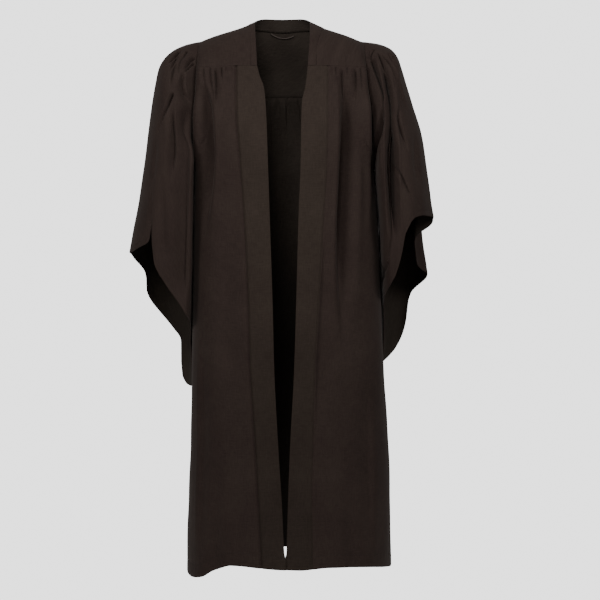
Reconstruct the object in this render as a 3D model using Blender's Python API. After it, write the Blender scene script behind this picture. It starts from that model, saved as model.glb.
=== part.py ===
"""Open-fronted black gown, filled out as if worn.

A yoke with a neck band carries two gathered fronts, a gathered back and two open bell sleeves.
Metres, +Z up. The front faces -Y. Left is -X and right is +X, as seen from the front. The origin
is the middle of the neck, level with the points where the neck meets the shoulders.
"""

import math

import bmesh
import bpy
import numpy as np

COLLECTION = "lawyer_gown"
LEFT = -1.0
RIGHT = 1.0
FRONT = -1.0
BACK = 1.0

# Cloth thickness and the gap left between two pieces at a seam
WALL = 0.002
SEAM_GAP = 0.0003

# Heights of the seams and of the hem
SHOULDER_Z = -0.0432
FRONT_SEAM_Z = -0.107
BACK_SEAM_Z = -0.150
UNDERARM_Z = -0.320
HEM_Z = -1.156

# Depth of the armhole before and behind the shoulder line
ARMHOLE_DEPTH = {FRONT: 0.075, BACK: 0.080}

# How square the plan of the body is, 2 being an ellipse
SQUARENESS = {FRONT: 2.8, BACK: 2.5}

# Rows and columns of the woven pieces
BODY_ROWS = 13
FRONT_COLUMNS = 34
BACK_COLUMNS = 46
BAND_COLUMNS = 3
SLEEVE_COLUMNS = 52
SLEEVE_ROWS = 13
YOKE_ROWS = 6
ARMHOLE_STEPS = 11
BACK_STEPS = 14

# Rows are closer together under the yoke, where the gathers are
ROW_CROWDING = 1.45
SLEEVE_ROW_CROWDING = 1.15

CLOTH_COLOUR = (0.012, 0.0105, 0.0095, 1.0)
LOOP_COLOUR = (0.09, 0.085, 0.08, 1.0)


def table(names, *rows):
    """A short table as one array for each named column."""
    return dict(zip(names.split(), np.array(rows, float).T))


# Distance of the side seam from the middle, at each height. Above the underarm the armhole leans
# in a straight line to its top.
ARMHOLE_TOP_X = {LEFT: 0.178, RIGHT: 0.175}
SIDES = table(
    "z left right",
    (UNDERARM_Z, 0.190, 0.197),
    (-0.480, 0.191, 0.209),
    (-0.760, 0.194, 0.220),
    (-0.900, 0.196, 0.2285),
    (-1.000, 0.2005, 0.233),
    (HEM_Z, 0.2027, 0.2335),
)

# Depth of the body before and behind the shoulder line, at each height
DEPTHS = table(
    "z front back",
    (SHOULDER_Z, 0.082, 0.070),
    (FRONT_SEAM_Z, 0.100, 0.092),
    (BACK_SEAM_Z, 0.112, 0.107),
    (-0.250, 0.127, 0.128),
    (-0.400, 0.134, 0.136),
    (-0.600, 0.141, 0.145),
    (-0.850, 0.157, 0.159),
    (HEM_Z, 0.175, 0.175),
)

# Front edges and the seams of the bands that finish them, as distances to the right of the middle
OPENING = table(
    "z left_seam left_edge right_edge right_seam",
    (-0.107, -0.0954, -0.0513, 0.0554, 0.0978),
    (-0.128, -0.0950, -0.0459, 0.0533, 0.0977),
    (-0.156, -0.0946, -0.0363, 0.0495, 0.0976),
    (-0.184, -0.0943, -0.0333, 0.0432, 0.0975),
    (-0.222, -0.0928, -0.0311, 0.0417, 0.0974),
    (-0.319, -0.0859, -0.0276, 0.0402, 0.0958),
    (-0.421, -0.0783, -0.0242, 0.0361, 0.0893),
    (-0.598, -0.0694, -0.0181, 0.0313, 0.0791),
    (-0.745, -0.0645, -0.0142, 0.0268, 0.0704),
    (-0.905, -0.0538, -0.0058, 0.0184, 0.0662),
    (-1.026, -0.0465, 0.0019, 0.0139, 0.0637),
    (-1.128, -0.0415, 0.0070, 0.0108, 0.0655),
    (HEM_Z, -0.0400, 0.0080, 0.0094, 0.0657),
)

# How far the hem hangs above or below its mean height, by the distance from the middle
HEM_LINE = table(
    "x drop",
    (-0.202, -0.012),
    (-0.190, -0.020),
    (-0.165, -0.016),
    (-0.145, -0.002),
    (-0.105, 0.010),
    (-0.070, 0.008),
    (0.010, 0.000),
    (0.070, 0.003),
    (0.125, 0.008),
    (0.165, 0.006),
    (0.205, 0.000),
    (0.233, -0.006),
)

# Neck edge, and the seam between the neck band and the yoke, from the left front round the back
NECK = table(
    "way edge_x edge_y edge_z seam_x seam_y seam_z",
    (0.00, -0.0513, -0.0995, -0.107, -0.0640, -0.0985, -0.107),
    (0.12, -0.0545, -0.0800, -0.052, -0.0668, -0.0790, -0.055),
    (0.27, -0.0575, -0.0180, 0.004, -0.0705, -0.0180, -0.001),
    (0.36, -0.0540, 0.0250, 0.012, -0.0720, 0.0310, -0.003),
    (0.44, -0.0330, 0.0520, 0.0145, -0.0430, 0.0660, -0.009),
    (0.50, 0.0010, 0.0600, 0.0148, 0.0010, 0.0770, -0.0115),
    (0.56, 0.0360, 0.0520, 0.0145, 0.0470, 0.0660, -0.009),
    (0.64, 0.0570, 0.0250, 0.012, 0.0830, 0.0310, -0.006),
    (0.73, 0.0605, -0.0180, 0.004, 0.0890, -0.0180, -0.010),
    (0.88, 0.0595, -0.0800, -0.052, 0.0760, -0.0770, -0.057),
    (1.00, 0.0554, -0.0995, -0.107, 0.0725, -0.0975, -0.107),
)
# Places along the neck that the shoulder ridge and the back corner of the armhole face
RIDGE_WAY = 0.27
CORNER_WAY = 0.38
YOKE_CROWN = 0.010

# Gathers under the yoke and the soft troughs that run on down the body. "along" is the share of
# the panel from its front seam to its side, "until" the height where the trough has faded.
LEFT_FRONT_FOLDS = table(
    "along shift until width depth",
    (0.10, 0.00, -0.20, 0.030, 0.0018),
    (0.20, 0.00, -0.26, 0.028, 0.0030),
    (0.31, -0.03, -0.21, 0.022, 0.0040),
    (0.41, 0.02, -0.36, 0.026, 0.0060),
    (0.53, -0.08, -0.62, 0.032, 0.0065),
    (0.66, -0.06, -0.50, 0.030, 0.0040),
    (0.78, 0.00, -0.80, 0.036, 0.0055),
    (0.90, 0.00, -1.30, 0.035, 0.0050),
)
RIGHT_FRONT_FOLDS = table(
    "along shift until width depth",
    (0.08, 0.00, -0.17, 0.022, 0.0018),
    (0.17, 0.00, -0.19, 0.024, 0.0025),
    (0.29, -0.05, -0.75, 0.030, 0.0070),
    (0.42, -0.02, -0.33, 0.024, 0.0030),
    (0.55, 0.00, -0.52, 0.028, 0.0055),
    (0.67, 0.02, -0.36, 0.026, 0.0035),
    (0.79, 0.00, -0.90, 0.034, 0.0055),
    (0.90, 0.00, -1.30, 0.034, 0.0050),
)
BACK_GATHERS = 17
BACK_FLUTES = 7
BACK_GATHER_DEPTH = 0.0032
BACK_FLUTE_DEPTH = 0.0085

# Rings of the sleeves, from the armhole down: outermost and innermost points, and depths
LEFT_SLEEVE = table(
    "ring out_x out_z in_x in_z front back",
    (0, 0.1780, -0.0432, 0.1900, -0.320, 0.075, 0.080),
    (1, 0.2060, -0.0500, 0.1925, -0.334, 0.096, 0.100),
    (2, 0.2310, -0.0600, 0.1930, -0.350, 0.108, 0.113),
    (3, 0.2520, -0.0800, 0.1932, -0.370, 0.114, 0.120),
    (4, 0.2640, -0.1030, 0.1934, -0.395, 0.117, 0.124),
    (5, 0.2710, -0.1350, 0.1936, -0.425, 0.118, 0.126),
    (6, 0.2790, -0.1800, 0.1938, -0.460, 0.118, 0.127),
    (7, 0.2870, -0.2400, 0.1942, -0.505, 0.117, 0.127),
    (8, 0.2960, -0.3100, 0.1948, -0.560, 0.115, 0.126),
    (9, 0.3075, -0.3850, 0.1955, -0.620, 0.112, 0.124),
    (10, 0.3225, -0.4600, 0.1962, -0.685, 0.108, 0.120),
    (11, 0.3370, -0.5400, 0.1970, -0.750, 0.105, 0.116),
    (12, 0.3420, -0.6600, 0.1975, -0.820, 0.100, 0.112),
    (13, 0.3420, -0.8200, 0.1980, -0.900, 0.095, 0.108),
)
RIGHT_SLEEVE = table(
    "ring out_x out_z in_x in_z front back",
    (0, 0.1750, -0.0432, 0.1970, -0.320, 0.075, 0.080),
    (1, 0.2050, -0.0475, 0.2005, -0.334, 0.096, 0.100),
    (2, 0.2330, -0.0590, 0.2025, -0.350, 0.108, 0.113),
    (3, 0.2490, -0.0790, 0.2045, -0.370, 0.114, 0.120),
    (4, 0.2570, -0.1020, 0.2070, -0.395, 0.117, 0.124),
    (5, 0.2670, -0.1350, 0.2095, -0.425, 0.118, 0.126),
    (6, 0.2820, -0.1800, 0.2110, -0.460, 0.118, 0.127),
    (7, 0.2990, -0.2400, 0.2130, -0.505, 0.117, 0.127),
    (8, 0.3110, -0.3100, 0.2155, -0.560, 0.115, 0.126),
    (9, 0.3200, -0.3850, 0.2180, -0.620, 0.112, 0.124),
    (10, 0.3280, -0.4400, 0.2205, -0.685, 0.108, 0.120),
    (11, 0.3250, -0.5200, 0.2225, -0.750, 0.105, 0.116),
    (12, 0.3250, -0.6400, 0.2250, -0.820, 0.100, 0.112),
    (13, 0.3250, -0.8200, 0.2275, -0.900, 0.095, 0.108),
)

# Height of the cuff edge round each sleeve. The angle is 0 at the outer side and 90 at the front.
LEFT_CUFF = table(
    "angle z",
    (0, -0.497),
    (30, -0.489),
    (60, -0.474),
    (76, -0.462),
    (83, -0.450),
    (88, -0.492),
    (94, -0.5265),
    (106, -0.556),
    (128, -0.585),
    (152, -0.610),
    (168, -0.635),
    (182, -0.690),
    (198, -0.770),
    (210, -0.790),
    (229, -0.776),
    (237, -0.745),
    (242, -0.705),
    (249, -0.678),
    (270, -0.646),
    (288, -0.620),
    (299, -0.597),
    (308, -0.563),
    (321, -0.530),
    (341, -0.509),
    (360, -0.497),
)
RIGHT_CUFF = table(
    "angle z",
    (0, -0.425),
    (30, -0.420),
    (57, -0.421),
    (75, -0.429),
    (91, -0.446),
    (103, -0.476),
    (108, -0.5076),
    (117, -0.533),
    (136, -0.560),
    (165, -0.580),
    (182, -0.640),
    (196, -0.705),
    (210, -0.728),
    (230, -0.726),
    (249, -0.710),
    (264, -0.692),
    (273, -0.664),
    (279, -0.628),
    (284, -0.603),
    (293, -0.587),
    (312, -0.571),
    (331, -0.555),
    (342, -0.525),
    (352, -0.462),
    (360, -0.425),
)

# How far the back of a sleeve tucks in behind the body, and the ring where it is tucked fully
SLEEVE_TUCK = 0.018
TUCK_RING = 3.0

# The turned edge at the outer side of the right cuff: where it is round the sleeve, how wide, and
# how far it curls inwards and forwards over the last part of the sleeve's length
CURL_CENTRE = -0.027
CURL_WIDTH = 0.025
CURL_START = 0.74
CURL_IN = 0.030
CURL_FORWARD = 0.014

# How strongly the cloth is gathered over the sleeve head, from 0 to under 1
HEAD_GATHERING = 0.6
FAN_RINGS = 6.0

# Folds of the sleeves. "round" is the share of the cloth round the sleeve from its outer line,
# forwards; "first" and "last" are the rings where the fold starts and has faded.
LEFT_SLEEVE_FOLDS = table(
    "round first last width depth",
    (-0.27, 0.1, 5.0, 0.013, 0.0045),
    (-0.21, 0.1, 6.0, 0.014, 0.0055),
    (-0.15, 0.1, 4.0, 0.013, 0.0045),
    (-0.09, 0.1, 3.5, 0.013, 0.0040),
    (-0.03, 0.1, 3.0, 0.013, 0.0040),
    (0.03, 0.1, 3.5, 0.013, 0.0045),
    (0.09, 0.1, 5.5, 0.014, 0.0055),
    (0.15, 0.1, 4.5, 0.013, 0.0045),
    (0.21, 0.1, 6.0, 0.014, 0.0060),
    (0.27, 0.1, 8.0, 0.016, 0.0060),
    (0.31, 1.5, 13.5, 0.026, 0.0090),
    (0.39, 2.5, 13.5, 0.026, 0.0110),
    (0.64, 2.5, 13.5, 0.034, 0.0080),
    (0.74, 1.5, 12.5, 0.034, 0.0090),
    (0.86, 3.0, 10.0, 0.030, 0.0060),
)
RIGHT_SLEEVE_FOLDS = table(
    "round first last width depth",
    (-0.27, 0.1, 5.0, 0.013, 0.0045),
    (-0.21, 0.1, 6.0, 0.014, 0.0055),
    (-0.15, 0.1, 4.0, 0.013, 0.0045),
    (-0.09, 0.1, 3.5, 0.013, 0.0040),
    (-0.03, 0.1, 3.5, 0.013, 0.0050),
    (0.03, 0.1, 5.0, 0.013, 0.0055),
    (0.09, 0.1, 5.5, 0.014, 0.0060),
    (0.15, 0.1, 6.5, 0.014, 0.0065),
    (0.21, 0.1, 5.0, 0.014, 0.0050),
    (0.28, 0.5, 12.0, 0.020, 0.0160),
    (0.37, 1.5, 11.0, 0.022, 0.0110),
    (0.64, 2.5, 13.5, 0.034, 0.0080),
    (0.74, 1.5, 12.5, 0.034, 0.0090),
    (0.86, 3.0, 10.0, 0.030, 0.0060),
)

# Hanging loop, sewn under the neck band at the middle of the back
LOOP_HALF_SPAN = 0.0255
LOOP_SAG = 0.010
LOOP_RADIUS = 0.0011
LOOP_DROP = 0.0030
LOOP_CLEARANCE = 0.0006
LOOP_POINTS = 13


def smooth(at, knots, values):
    """Cubic interpolation through the rows of a table, with no overshoot between them."""
    order = np.argsort(knots)
    x, y = np.asarray(knots, float)[order], np.asarray(values, float)[order]
    step = np.diff(x)
    rise = np.diff(y) / step
    slope = np.zeros_like(y)
    turning = rise[:-1] * rise[1:] > 0
    total = np.where(turning, rise[:-1] + rise[1:], 1.0)
    slope[1:-1] = np.where(turning, 2 * rise[:-1] * rise[1:] / total, 0.0)
    slope[0], slope[-1] = rise[0], rise[-1]
    at = np.clip(at, x[0], x[-1])
    i = np.clip(np.searchsorted(x, at) - 1, 0, len(x) - 2)
    t = (at - x[i]) / step[i]
    value = y[i] * (1 + 2 * t) * (1 - t) ** 2 + y[i + 1] * t * t * (3 - 2 * t)
    return value + step[i] * (slope[i] * t * (1 - t) ** 2 - slope[i + 1] * t * t * (1 - t))


def ease(t):
    """0 to 1 with a level start and end."""
    t = np.clip(t, 0.0, 1.0)
    return t * t * (3 - 2 * t)


def unit(vectors):
    """The same directions with a length of 1."""
    return vectors / np.maximum(np.linalg.norm(vectors, axis=-1, keepdims=True), 1e-12)


def side_x(z, side):
    """Where the side of the body is at a height, with its sign."""
    column = SIDES["left" if side == LEFT else "right"]
    lean = np.clip((z - UNDERARM_Z) / (SHOULDER_Z - UNDERARM_Z), 0, 1)
    return side * (smooth(z, SIDES["z"], column) + (ARMHOLE_TOP_X[side] - column[0]) * lean)


def armhole_y(z, face):
    """Depth of the armhole's edge at a height, and 0 below the underarm."""
    middle = (SHOULDER_Z + UNDERARM_Z) / 2
    half = (SHOULDER_Z - UNDERARM_Z) / 2
    up = np.clip((z - middle) / half, -1.0, 1.0)
    return face * ARMHOLE_DEPTH[face] * np.sqrt(1 - up * up)


def armhole_z(angle):
    """Height of the armhole's edge at an angle from its top, in degrees."""
    middle = (SHOULDER_Z + UNDERARM_Z) / 2
    half = (SHOULDER_Z - UNDERARM_Z) / 2
    return middle + half * np.cos(np.radians(angle))


def armhole_point(angle, side):
    """A point on the armhole's edge; the angle is 0 at the top and 90 at the front."""
    z = armhole_z(angle)
    face = np.where(np.sin(np.radians(angle)) >= 0, FRONT, BACK)
    depth = np.where(face == FRONT, ARMHOLE_DEPTH[FRONT], ARMHOLE_DEPTH[BACK])
    y = -depth * np.sin(np.radians(angle))
    return np.stack([side_x(z, side), y, z], axis=-1)


def body_y(x, z, face):
    """Depth of the body's surface at x, on its front or its back."""
    side = LEFT if x < 0 else RIGHT
    edge = abs(armhole_y(z, face))
    depth = smooth(z, DEPTHS["z"], DEPTHS["front" if face == FRONT else "back"])
    power = SQUARENESS[face]
    share = min(abs(x / side_x(z, side)), 1.0)
    return face * (edge + (depth - edge) * (1 - share**power) ** (1 / power))


def body_arc(z, face, start, end, samples=120):
    """Points at height z from x = start to x = end, crowded where the plan turns."""
    sides = side_x(z, LEFT), side_x(z, RIGHT)
    reach = np.array([sides[0] if v < 0 else sides[1] for v in (start, end)])
    swing = np.arcsin(np.clip(np.array([start, end]) / np.abs(reach), -1, 1))
    turns = np.linspace(swing[0], swing[1], samples)
    xs = np.array([np.sin(a) * abs(sides[0] if a < 0 else sides[1]) for a in turns])
    return np.array([(x, body_y(x, z, face), z) for x in xs])


def body_row(z, face, start, end, columns):
    """Evenly spaced points along the body at height z, and the level directions out of it."""
    line = body_arc(z, face, start, end)
    gone = np.concatenate([[0.0], np.cumsum(np.linalg.norm(np.diff(line, axis=0), axis=1))])
    at = np.linspace(0, gone[-1], columns + 1)
    row = np.stack([np.interp(at, gone, line[:, k]) for k in range(3)], axis=-1)
    ahead = np.gradient(row, axis=0)
    outward = unit(np.stack([ahead[:, 1], -ahead[:, 0], np.zeros(len(row))], axis=-1))
    middle = outward[len(row) // 2]
    sign = 1.0 if middle[1] * face > 0 or abs(middle[1]) < 1e-6 else -1.0
    return row, outward * sign


def fold_depth(along, z, top, folds):
    """How far the gathers of a front panel pull its cloth in, at a place on it."""
    depth = np.zeros_like(along)
    for centre, shift, until, width, deep in zip(*folds.values()):
        gone = (top - z) / (top - until)
        if gone < 1:
            strength = (1 - math.exp(-gone * 14)) * (1 - gone) ** 0.8
            middle = centre + shift * ease(gone * 2)
            depth += deep * strength * np.exp(-(((along - middle) / width) ** 2))
    return depth


def back_fold_depth(along, z):
    """Even gathers under the back yoke that run together into a few broad flutes."""
    gone = (BACK_SEAM_Z - z) / (BACK_SEAM_Z - HEM_Z)
    uneven = along + 0.011 * np.sin(2 * math.pi * 3 * along + 0.7)
    gather = 0.5 - 0.5 * np.cos(2 * math.pi * BACK_GATHERS * uneven)
    flute = 0.5 - 0.5 * np.cos(2 * math.pi * BACK_FLUTES * (along + 0.014 * np.sin(9 * along)))
    near = (1 - math.exp(-gone * 40)) * math.exp(-gone * 5)
    depth = BACK_GATHER_DEPTH * near * gather + BACK_FLUTE_DEPTH * ease(gone * 2.2) * flute
    return depth * ease(along * 12) * ease((1 - along) * 12)


def wall(points, outward, closed=False):
    """A cloth wall: the points, the points moved in by its thickness, and the rims."""
    rows, columns = points.shape[:2]
    verts = np.concatenate([points.reshape(-1, 3), (points - WALL * outward).reshape(-1, 3)])
    inner = rows * columns
    faces = []
    across = columns if closed else columns - 1
    for r in range(rows - 1):
        for c in range(across):
            d = (c + 1) % columns
            quad = [r * columns + c, r * columns + d, (r + 1) * columns + d, (r + 1) * columns + c]
            faces.append(quad)
            faces.append([v + inner for v in reversed(quad)])
    rims = []
    for r, forward in ((0, False), (rows - 1, True)):
        for c in range(across):
            a, b = r * columns + c, r * columns + (c + 1) % columns
            rims.append((a, b) if forward else (b, a))
    if not closed:
        for c, forward in ((0, True), (columns - 1, False)):
            for r in range(rows - 1):
                a, b = r * columns + c, (r + 1) * columns + c
                rims.append((a, b) if forward else (b, a))
    faces += [[b, a, a + inner, b + inner] for a, b in rims]
    return verts, faces


def add_piece(name, verts, faces, material):
    """One piece of the gown, with its faces turned outwards."""
    mesh = bpy.data.meshes.new(name)
    mesh.from_pydata([tuple(v) for v in verts], [], [tuple(f) for f in faces])
    work = bmesh.new()
    work.from_mesh(mesh)
    bmesh.ops.recalc_face_normals(work, faces=work.faces)
    if work.calc_volume(signed=True) < 0:
        bmesh.ops.reverse_faces(work, faces=work.faces)
    work.to_mesh(mesh)
    work.free()
    mesh.shade_smooth()
    mesh.set_sharp_from_angle(angle=math.radians(50))
    mesh.materials.append(material)
    piece = bpy.data.objects.new(name, mesh)
    bpy.data.collections[COLLECTION].objects.link(piece)
    return piece


def cloth_material(name, colour, roughness):
    """A plain material for one piece."""
    material = bpy.data.materials.new(name)
    material.use_nodes = True
    shader = material.node_tree.nodes["Principled BSDF"]
    shader.inputs["Base Color"].default_value = colour
    shader.inputs["Roughness"].default_value = roughness
    shader.inputs["Metallic"].default_value = 0.0
    material.diffuse_color = colour
    return material


def row_heights(top):
    """Heights of the rows of a body panel, closer together at its top."""
    share = np.linspace(0, 1, BODY_ROWS + 1) ** ROW_CROWDING
    return top + (HEM_Z - top) * share


def opening(column, z):
    """One of the four lines of the front opening at a height."""
    return smooth(z, OPENING["z"], OPENING[column])


def hang(points, heights):
    """Lets the lowest rows follow the uneven line of the hem."""
    share = (heights[0] - heights) / (heights[0] - heights[-1])
    drop = np.interp(points[:, :, 0], HEM_LINE["x"], HEM_LINE["drop"])
    points[:, :, 2] += drop * (share**3)[:, None]
    return points


def make_front(side):
    """A front, gathered on to the yoke, from the band's seam round to the armhole and side seam."""
    word = "left" if side == LEFT else "right"
    folds = LEFT_FRONT_FOLDS if side == LEFT else RIGHT_FRONT_FOLDS
    top = FRONT_SEAM_Z - SEAM_GAP
    points, outward = [], []
    for z in row_heights(top):
        start = opening(word + "_seam", z) + side * SEAM_GAP
        row, out = body_row(z, FRONT, start, side_x(z, side), FRONT_COLUMNS)
        row[:, 1] -= SEAM_GAP / 2
        along = np.linspace(0, 1, FRONT_COLUMNS + 1)
        edges = ease(along * 16) * ease((1 - along) * 16)
        row -= out * (fold_depth(along, z, top, folds) * edges)[:, None]
        points.append(row)
        outward.append(out)
    verts, faces = wall(hang(np.array(points), row_heights(top)), np.array(outward))
    add_piece("front_" + word, verts, faces, cloth_material("front_" + word, CLOTH_COLOUR, 0.62))


def make_front_band(side):
    """The plain band along a front edge, from the yoke's seam to the hem."""
    word = "left" if side == LEFT else "right"
    points, outward = [], []
    heights = row_heights(FRONT_SEAM_Z - SEAM_GAP)
    for z in heights:
        edge, seam = opening(word + "_edge", z), opening(word + "_seam", z)
        row, out = body_row(z, FRONT, edge, seam, BAND_COLUMNS)
        row[:, 1] -= SEAM_GAP / 2
        points.append(row)
        outward.append(out)
    verts, faces = wall(hang(np.array(points), heights), np.array(outward))
    name = "front_band_" + word
    add_piece(name, verts, faces, cloth_material(name, CLOTH_COLOUR, 0.60))


def make_back():
    """The back, gathered under the yoke across its whole width."""
    points, outward = [], []
    for z in row_heights(BACK_SEAM_Z - SEAM_GAP):
        row, out = body_row(z, BACK, side_x(z, LEFT), side_x(z, RIGHT), BACK_COLUMNS)
        row[:, 1] += SEAM_GAP / 2
        row -= out * back_fold_depth(np.linspace(0, 1, BACK_COLUMNS + 1), z)[:, None]
        points.append(row)
        outward.append(out)
    verts, faces = wall(np.array(points), np.array(outward))
    add_piece("back", verts, faces, cloth_material("back", CLOTH_COLOUR, 0.62))


def neck_point(way, line):
    """A point of the neck's edge or of the neck band's seam; 0 and 1 are at the front."""
    return np.stack([smooth(way, NECK["way"], NECK[f"{line}_{axis}"]) for axis in "xyz"], -1)


def neck_frames(ways):
    """The neck's edge, its band's seam, and the directions out of the band between them."""
    edge, seam = neck_point(ways, "edge"), neck_point(ways, "seam")
    for line in (edge, seam):
        for end in (0, -1):
            line[end, 1] = body_y(line[end, 0], FRONT_SEAM_Z, FRONT)
    ahead = np.gradient((edge + seam) / 2, axis=0)
    outward = unit(np.cross(ahead, seam - edge))
    level = outward * (1, 1, 0)
    ends = 1 - ease(np.minimum(ways, 1 - ways) / 0.06)[:, None]
    return edge, seam, unit(outward * (1 - ends) + unit(level) * ends)


def yoke_ways():
    """Places along the neck for the stations of the yoke, from the left front to the right."""
    arm = np.concatenate(
        [
            np.linspace(0, RIDGE_WAY, ARMHOLE_STEPS // 2 + 1),
            np.linspace(RIDGE_WAY, CORNER_WAY, ARMHOLE_STEPS - ARMHOLE_STEPS // 2 + 1)[1:],
        ]
    )
    across = np.linspace(CORNER_WAY, 1 - CORNER_WAY, BACK_STEPS + 1)[1:-1]
    return np.concatenate([arm, across, 1 - arm[::-1]]), len(arm)


def yoke_rim(count):
    """The yoke's outer edge: one armhole, the back seam, and the other armhole."""
    half = (SHOULDER_Z - UNDERARM_Z) / 2
    middle = (SHOULDER_Z + UNDERARM_Z) / 2
    front_angle = math.degrees(math.acos((FRONT_SEAM_Z - middle) / half))
    back_angle = -math.degrees(math.acos((BACK_SEAM_Z - middle) / half))
    steps = ARMHOLE_STEPS // 2
    angles = np.concatenate(
        [
            np.linspace(front_angle, 0, steps + 1),
            np.linspace(0, back_angle, count - steps)[1:],
        ]
    )
    left = armhole_point(angles, LEFT)
    right = armhole_point(angles, RIGHT)[::-1]
    across, out = body_row(BACK_SEAM_Z, BACK, left[-1, 0], right[0, 0], BACK_STEPS)
    return np.concatenate([left, across[1:-1], right]), out


def level_ends(points, outward, ways):
    """Turns the thickness level at the two front seams, as it is in the fronts below them."""
    near = (1 - ease(np.minimum(ways, 1 - ways) / 0.08))[:, None, None]
    level = unit(outward * (1, 1, 0))
    for end in (0, -1):
        ahead = np.gradient(points[end], axis=0)
        square = unit(np.stack([ahead[:, 1], -ahead[:, 0], np.zeros(len(ahead))], -1))
        square *= np.where(square[1, 1] < 0, 1.0, -1.0)
        half = ways < 0.5 if end == 0 else ways >= 0.5
        level[half] = square
    return unit(outward * (1 - near) + level * near)


def yoke_surface():
    """The yoke's outer points, station by station round the neck, and the directions out of it."""
    ways, corner = yoke_ways()
    _, seam, neck_out = neck_frames(ways)
    rim, back_out = yoke_rim(corner)
    seam = seam + SEAM_GAP * unit(rim - seam)
    share = np.linspace(0, 1, YOKE_ROWS + 1)
    ruled = seam[:, None] * (1 - share[None, :, None]) + rim[:, None] * share[None, :, None]
    normal = unit(np.cross(np.gradient(ruled, axis=1), np.gradient(ruled, axis=0)))
    near_front = 1 - ease(np.minimum(ways, 1 - ways) / RIDGE_WAY)
    crown = YOKE_CROWN * np.sin(math.pi * share)[None, :] * (1 - near_front)[:, None]
    over_ridge = np.exp(-(((np.minimum(ways, 1 - ways) - RIDGE_WAY) / 0.05) ** 2))
    crown *= (1 - over_ridge)[:, None]
    points = ruled + normal * crown[:, :, None]
    for end in (0, -1):
        flat = np.array([body_y(p[0], FRONT_SEAM_Z, FRONT) for p in ruled[end]])
        dip = flat - ruled[end, :, 1]
        side = ways if end == 0 else 1 - ways
        points[:, :, 1] += dip[None, :] * (1 - ease(side / RIDGE_WAY))[:, None]
    outward = unit(np.cross(np.gradient(points, axis=1), np.gradient(points, axis=0)))
    outward = np.where(outward[corner // 2, 2, 2] > 0, outward, -outward)
    outward = level_ends(points, outward, ways)
    hold = (1 - ease(share * 3))[None, :, None]
    outward = unit(outward * (1 - hold) + neck_out[:, None] * hold)
    turn = ease((share - 0.5) * 2)[None, :, None]
    inside = slice(corner - 1, corner + BACK_STEPS)
    outward[inside] = unit(outward[inside] * (1 - turn) + back_out[:, None] * turn)
    outward[:corner, -1, 0] = np.minimum(outward[:corner, -1, 0], 0.0)
    outward[-corner:, -1, 0] = np.maximum(outward[-corner:, -1, 0], 0.0)
    return points, unit(outward)


def make_yoke():
    """The yoke, a U of cloth over both shoulders and across the back."""
    points, outward = yoke_surface()
    verts, faces = wall(points, outward)
    add_piece("yoke", verts, faces, cloth_material("yoke", CLOTH_COLOUR, 0.60))


def make_neck_band():
    """The narrow band that finishes the neck, from one front seam round to the other."""
    ways, _ = yoke_ways()
    edge, seam, outward = neck_frames(ways)
    points = np.stack([edge, (edge + seam) / 2, seam], axis=1)
    verts, faces = wall(points, np.repeat(outward[:, None], 3, axis=1))
    add_piece("neck_band", verts, faces, cloth_material("neck_band", CLOTH_COLOUR, 0.58))


def sleeve_ring(ring, angle, side, rings):
    """A point of a sleeve without its folds; ring 0 is the armhole."""
    value = {name: smooth(ring, rings["ring"], rings[name]) for name in rings}
    turn = np.radians(angle)
    across = 0.5 + 0.5 * np.cos(turn)
    x = value["in_x"] + (value["out_x"] - value["in_x"]) * across
    x = x - SLEEVE_TUCK * ease(ring / TUCK_RING) * np.clip(-np.sin(turn), 0, 1) * (1 - across)
    z = value["in_z"] + (value["out_z"] - value["in_z"]) * across
    depth = np.where(np.sin(turn) >= 0, value["front"], value["back"])
    return np.stack([side * x, -depth * np.sin(turn), z], axis=-1)


def sleeve_angles(around, ring):
    """Angles of the cloth's columns, crowded over the sleeve head and even lower down."""
    head = around - HEAD_GATHERING * np.sin(2 * math.pi * around) / (2 * math.pi)
    spread = ease(ring / FAN_RINGS)
    return 360 * (head * (1 - spread) + around * spread)


def cuff_ring(around, side, rings, cuff):
    """The ring where a column of the sleeve's cloth reaches the cuff edge."""
    trial = np.linspace(0, rings["ring"][-1], 261)
    angles = sleeve_angles(around, trial)
    heights = sleeve_ring(trial, angles, side, rings)[:, 2]
    left = heights - smooth(angles % 360, cuff["angle"], cuff["z"])
    below = np.nonzero(left < 0)[0]
    i = below[0] if len(below) else len(trial) - 1
    part = left[i - 1] / (left[i - 1] - left[i])
    return trial[i - 1] + part * (trial[i] - trial[i - 1])


def sleeve_folds(around, ring, folds):
    """How far the folds pull one column of a sleeve's cloth in, at each of its rings."""
    depth = np.zeros_like(ring)
    for centre, first, last, width, deep in zip(*folds.values()):
        gone = (ring - first) / (last - first)
        inside = (gone > 0) & (gone < 1)
        gone = np.clip(gone, 0, 1)
        away = (around - centre + 0.5) % 1.0 - 0.5
        strength = np.where(inside, (1 - np.exp(-gone * 9)) * (1 - gone) ** 0.5, 0.0)
        depth += deep * strength * math.exp(-((away / width) ** 2))
    return depth


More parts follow.
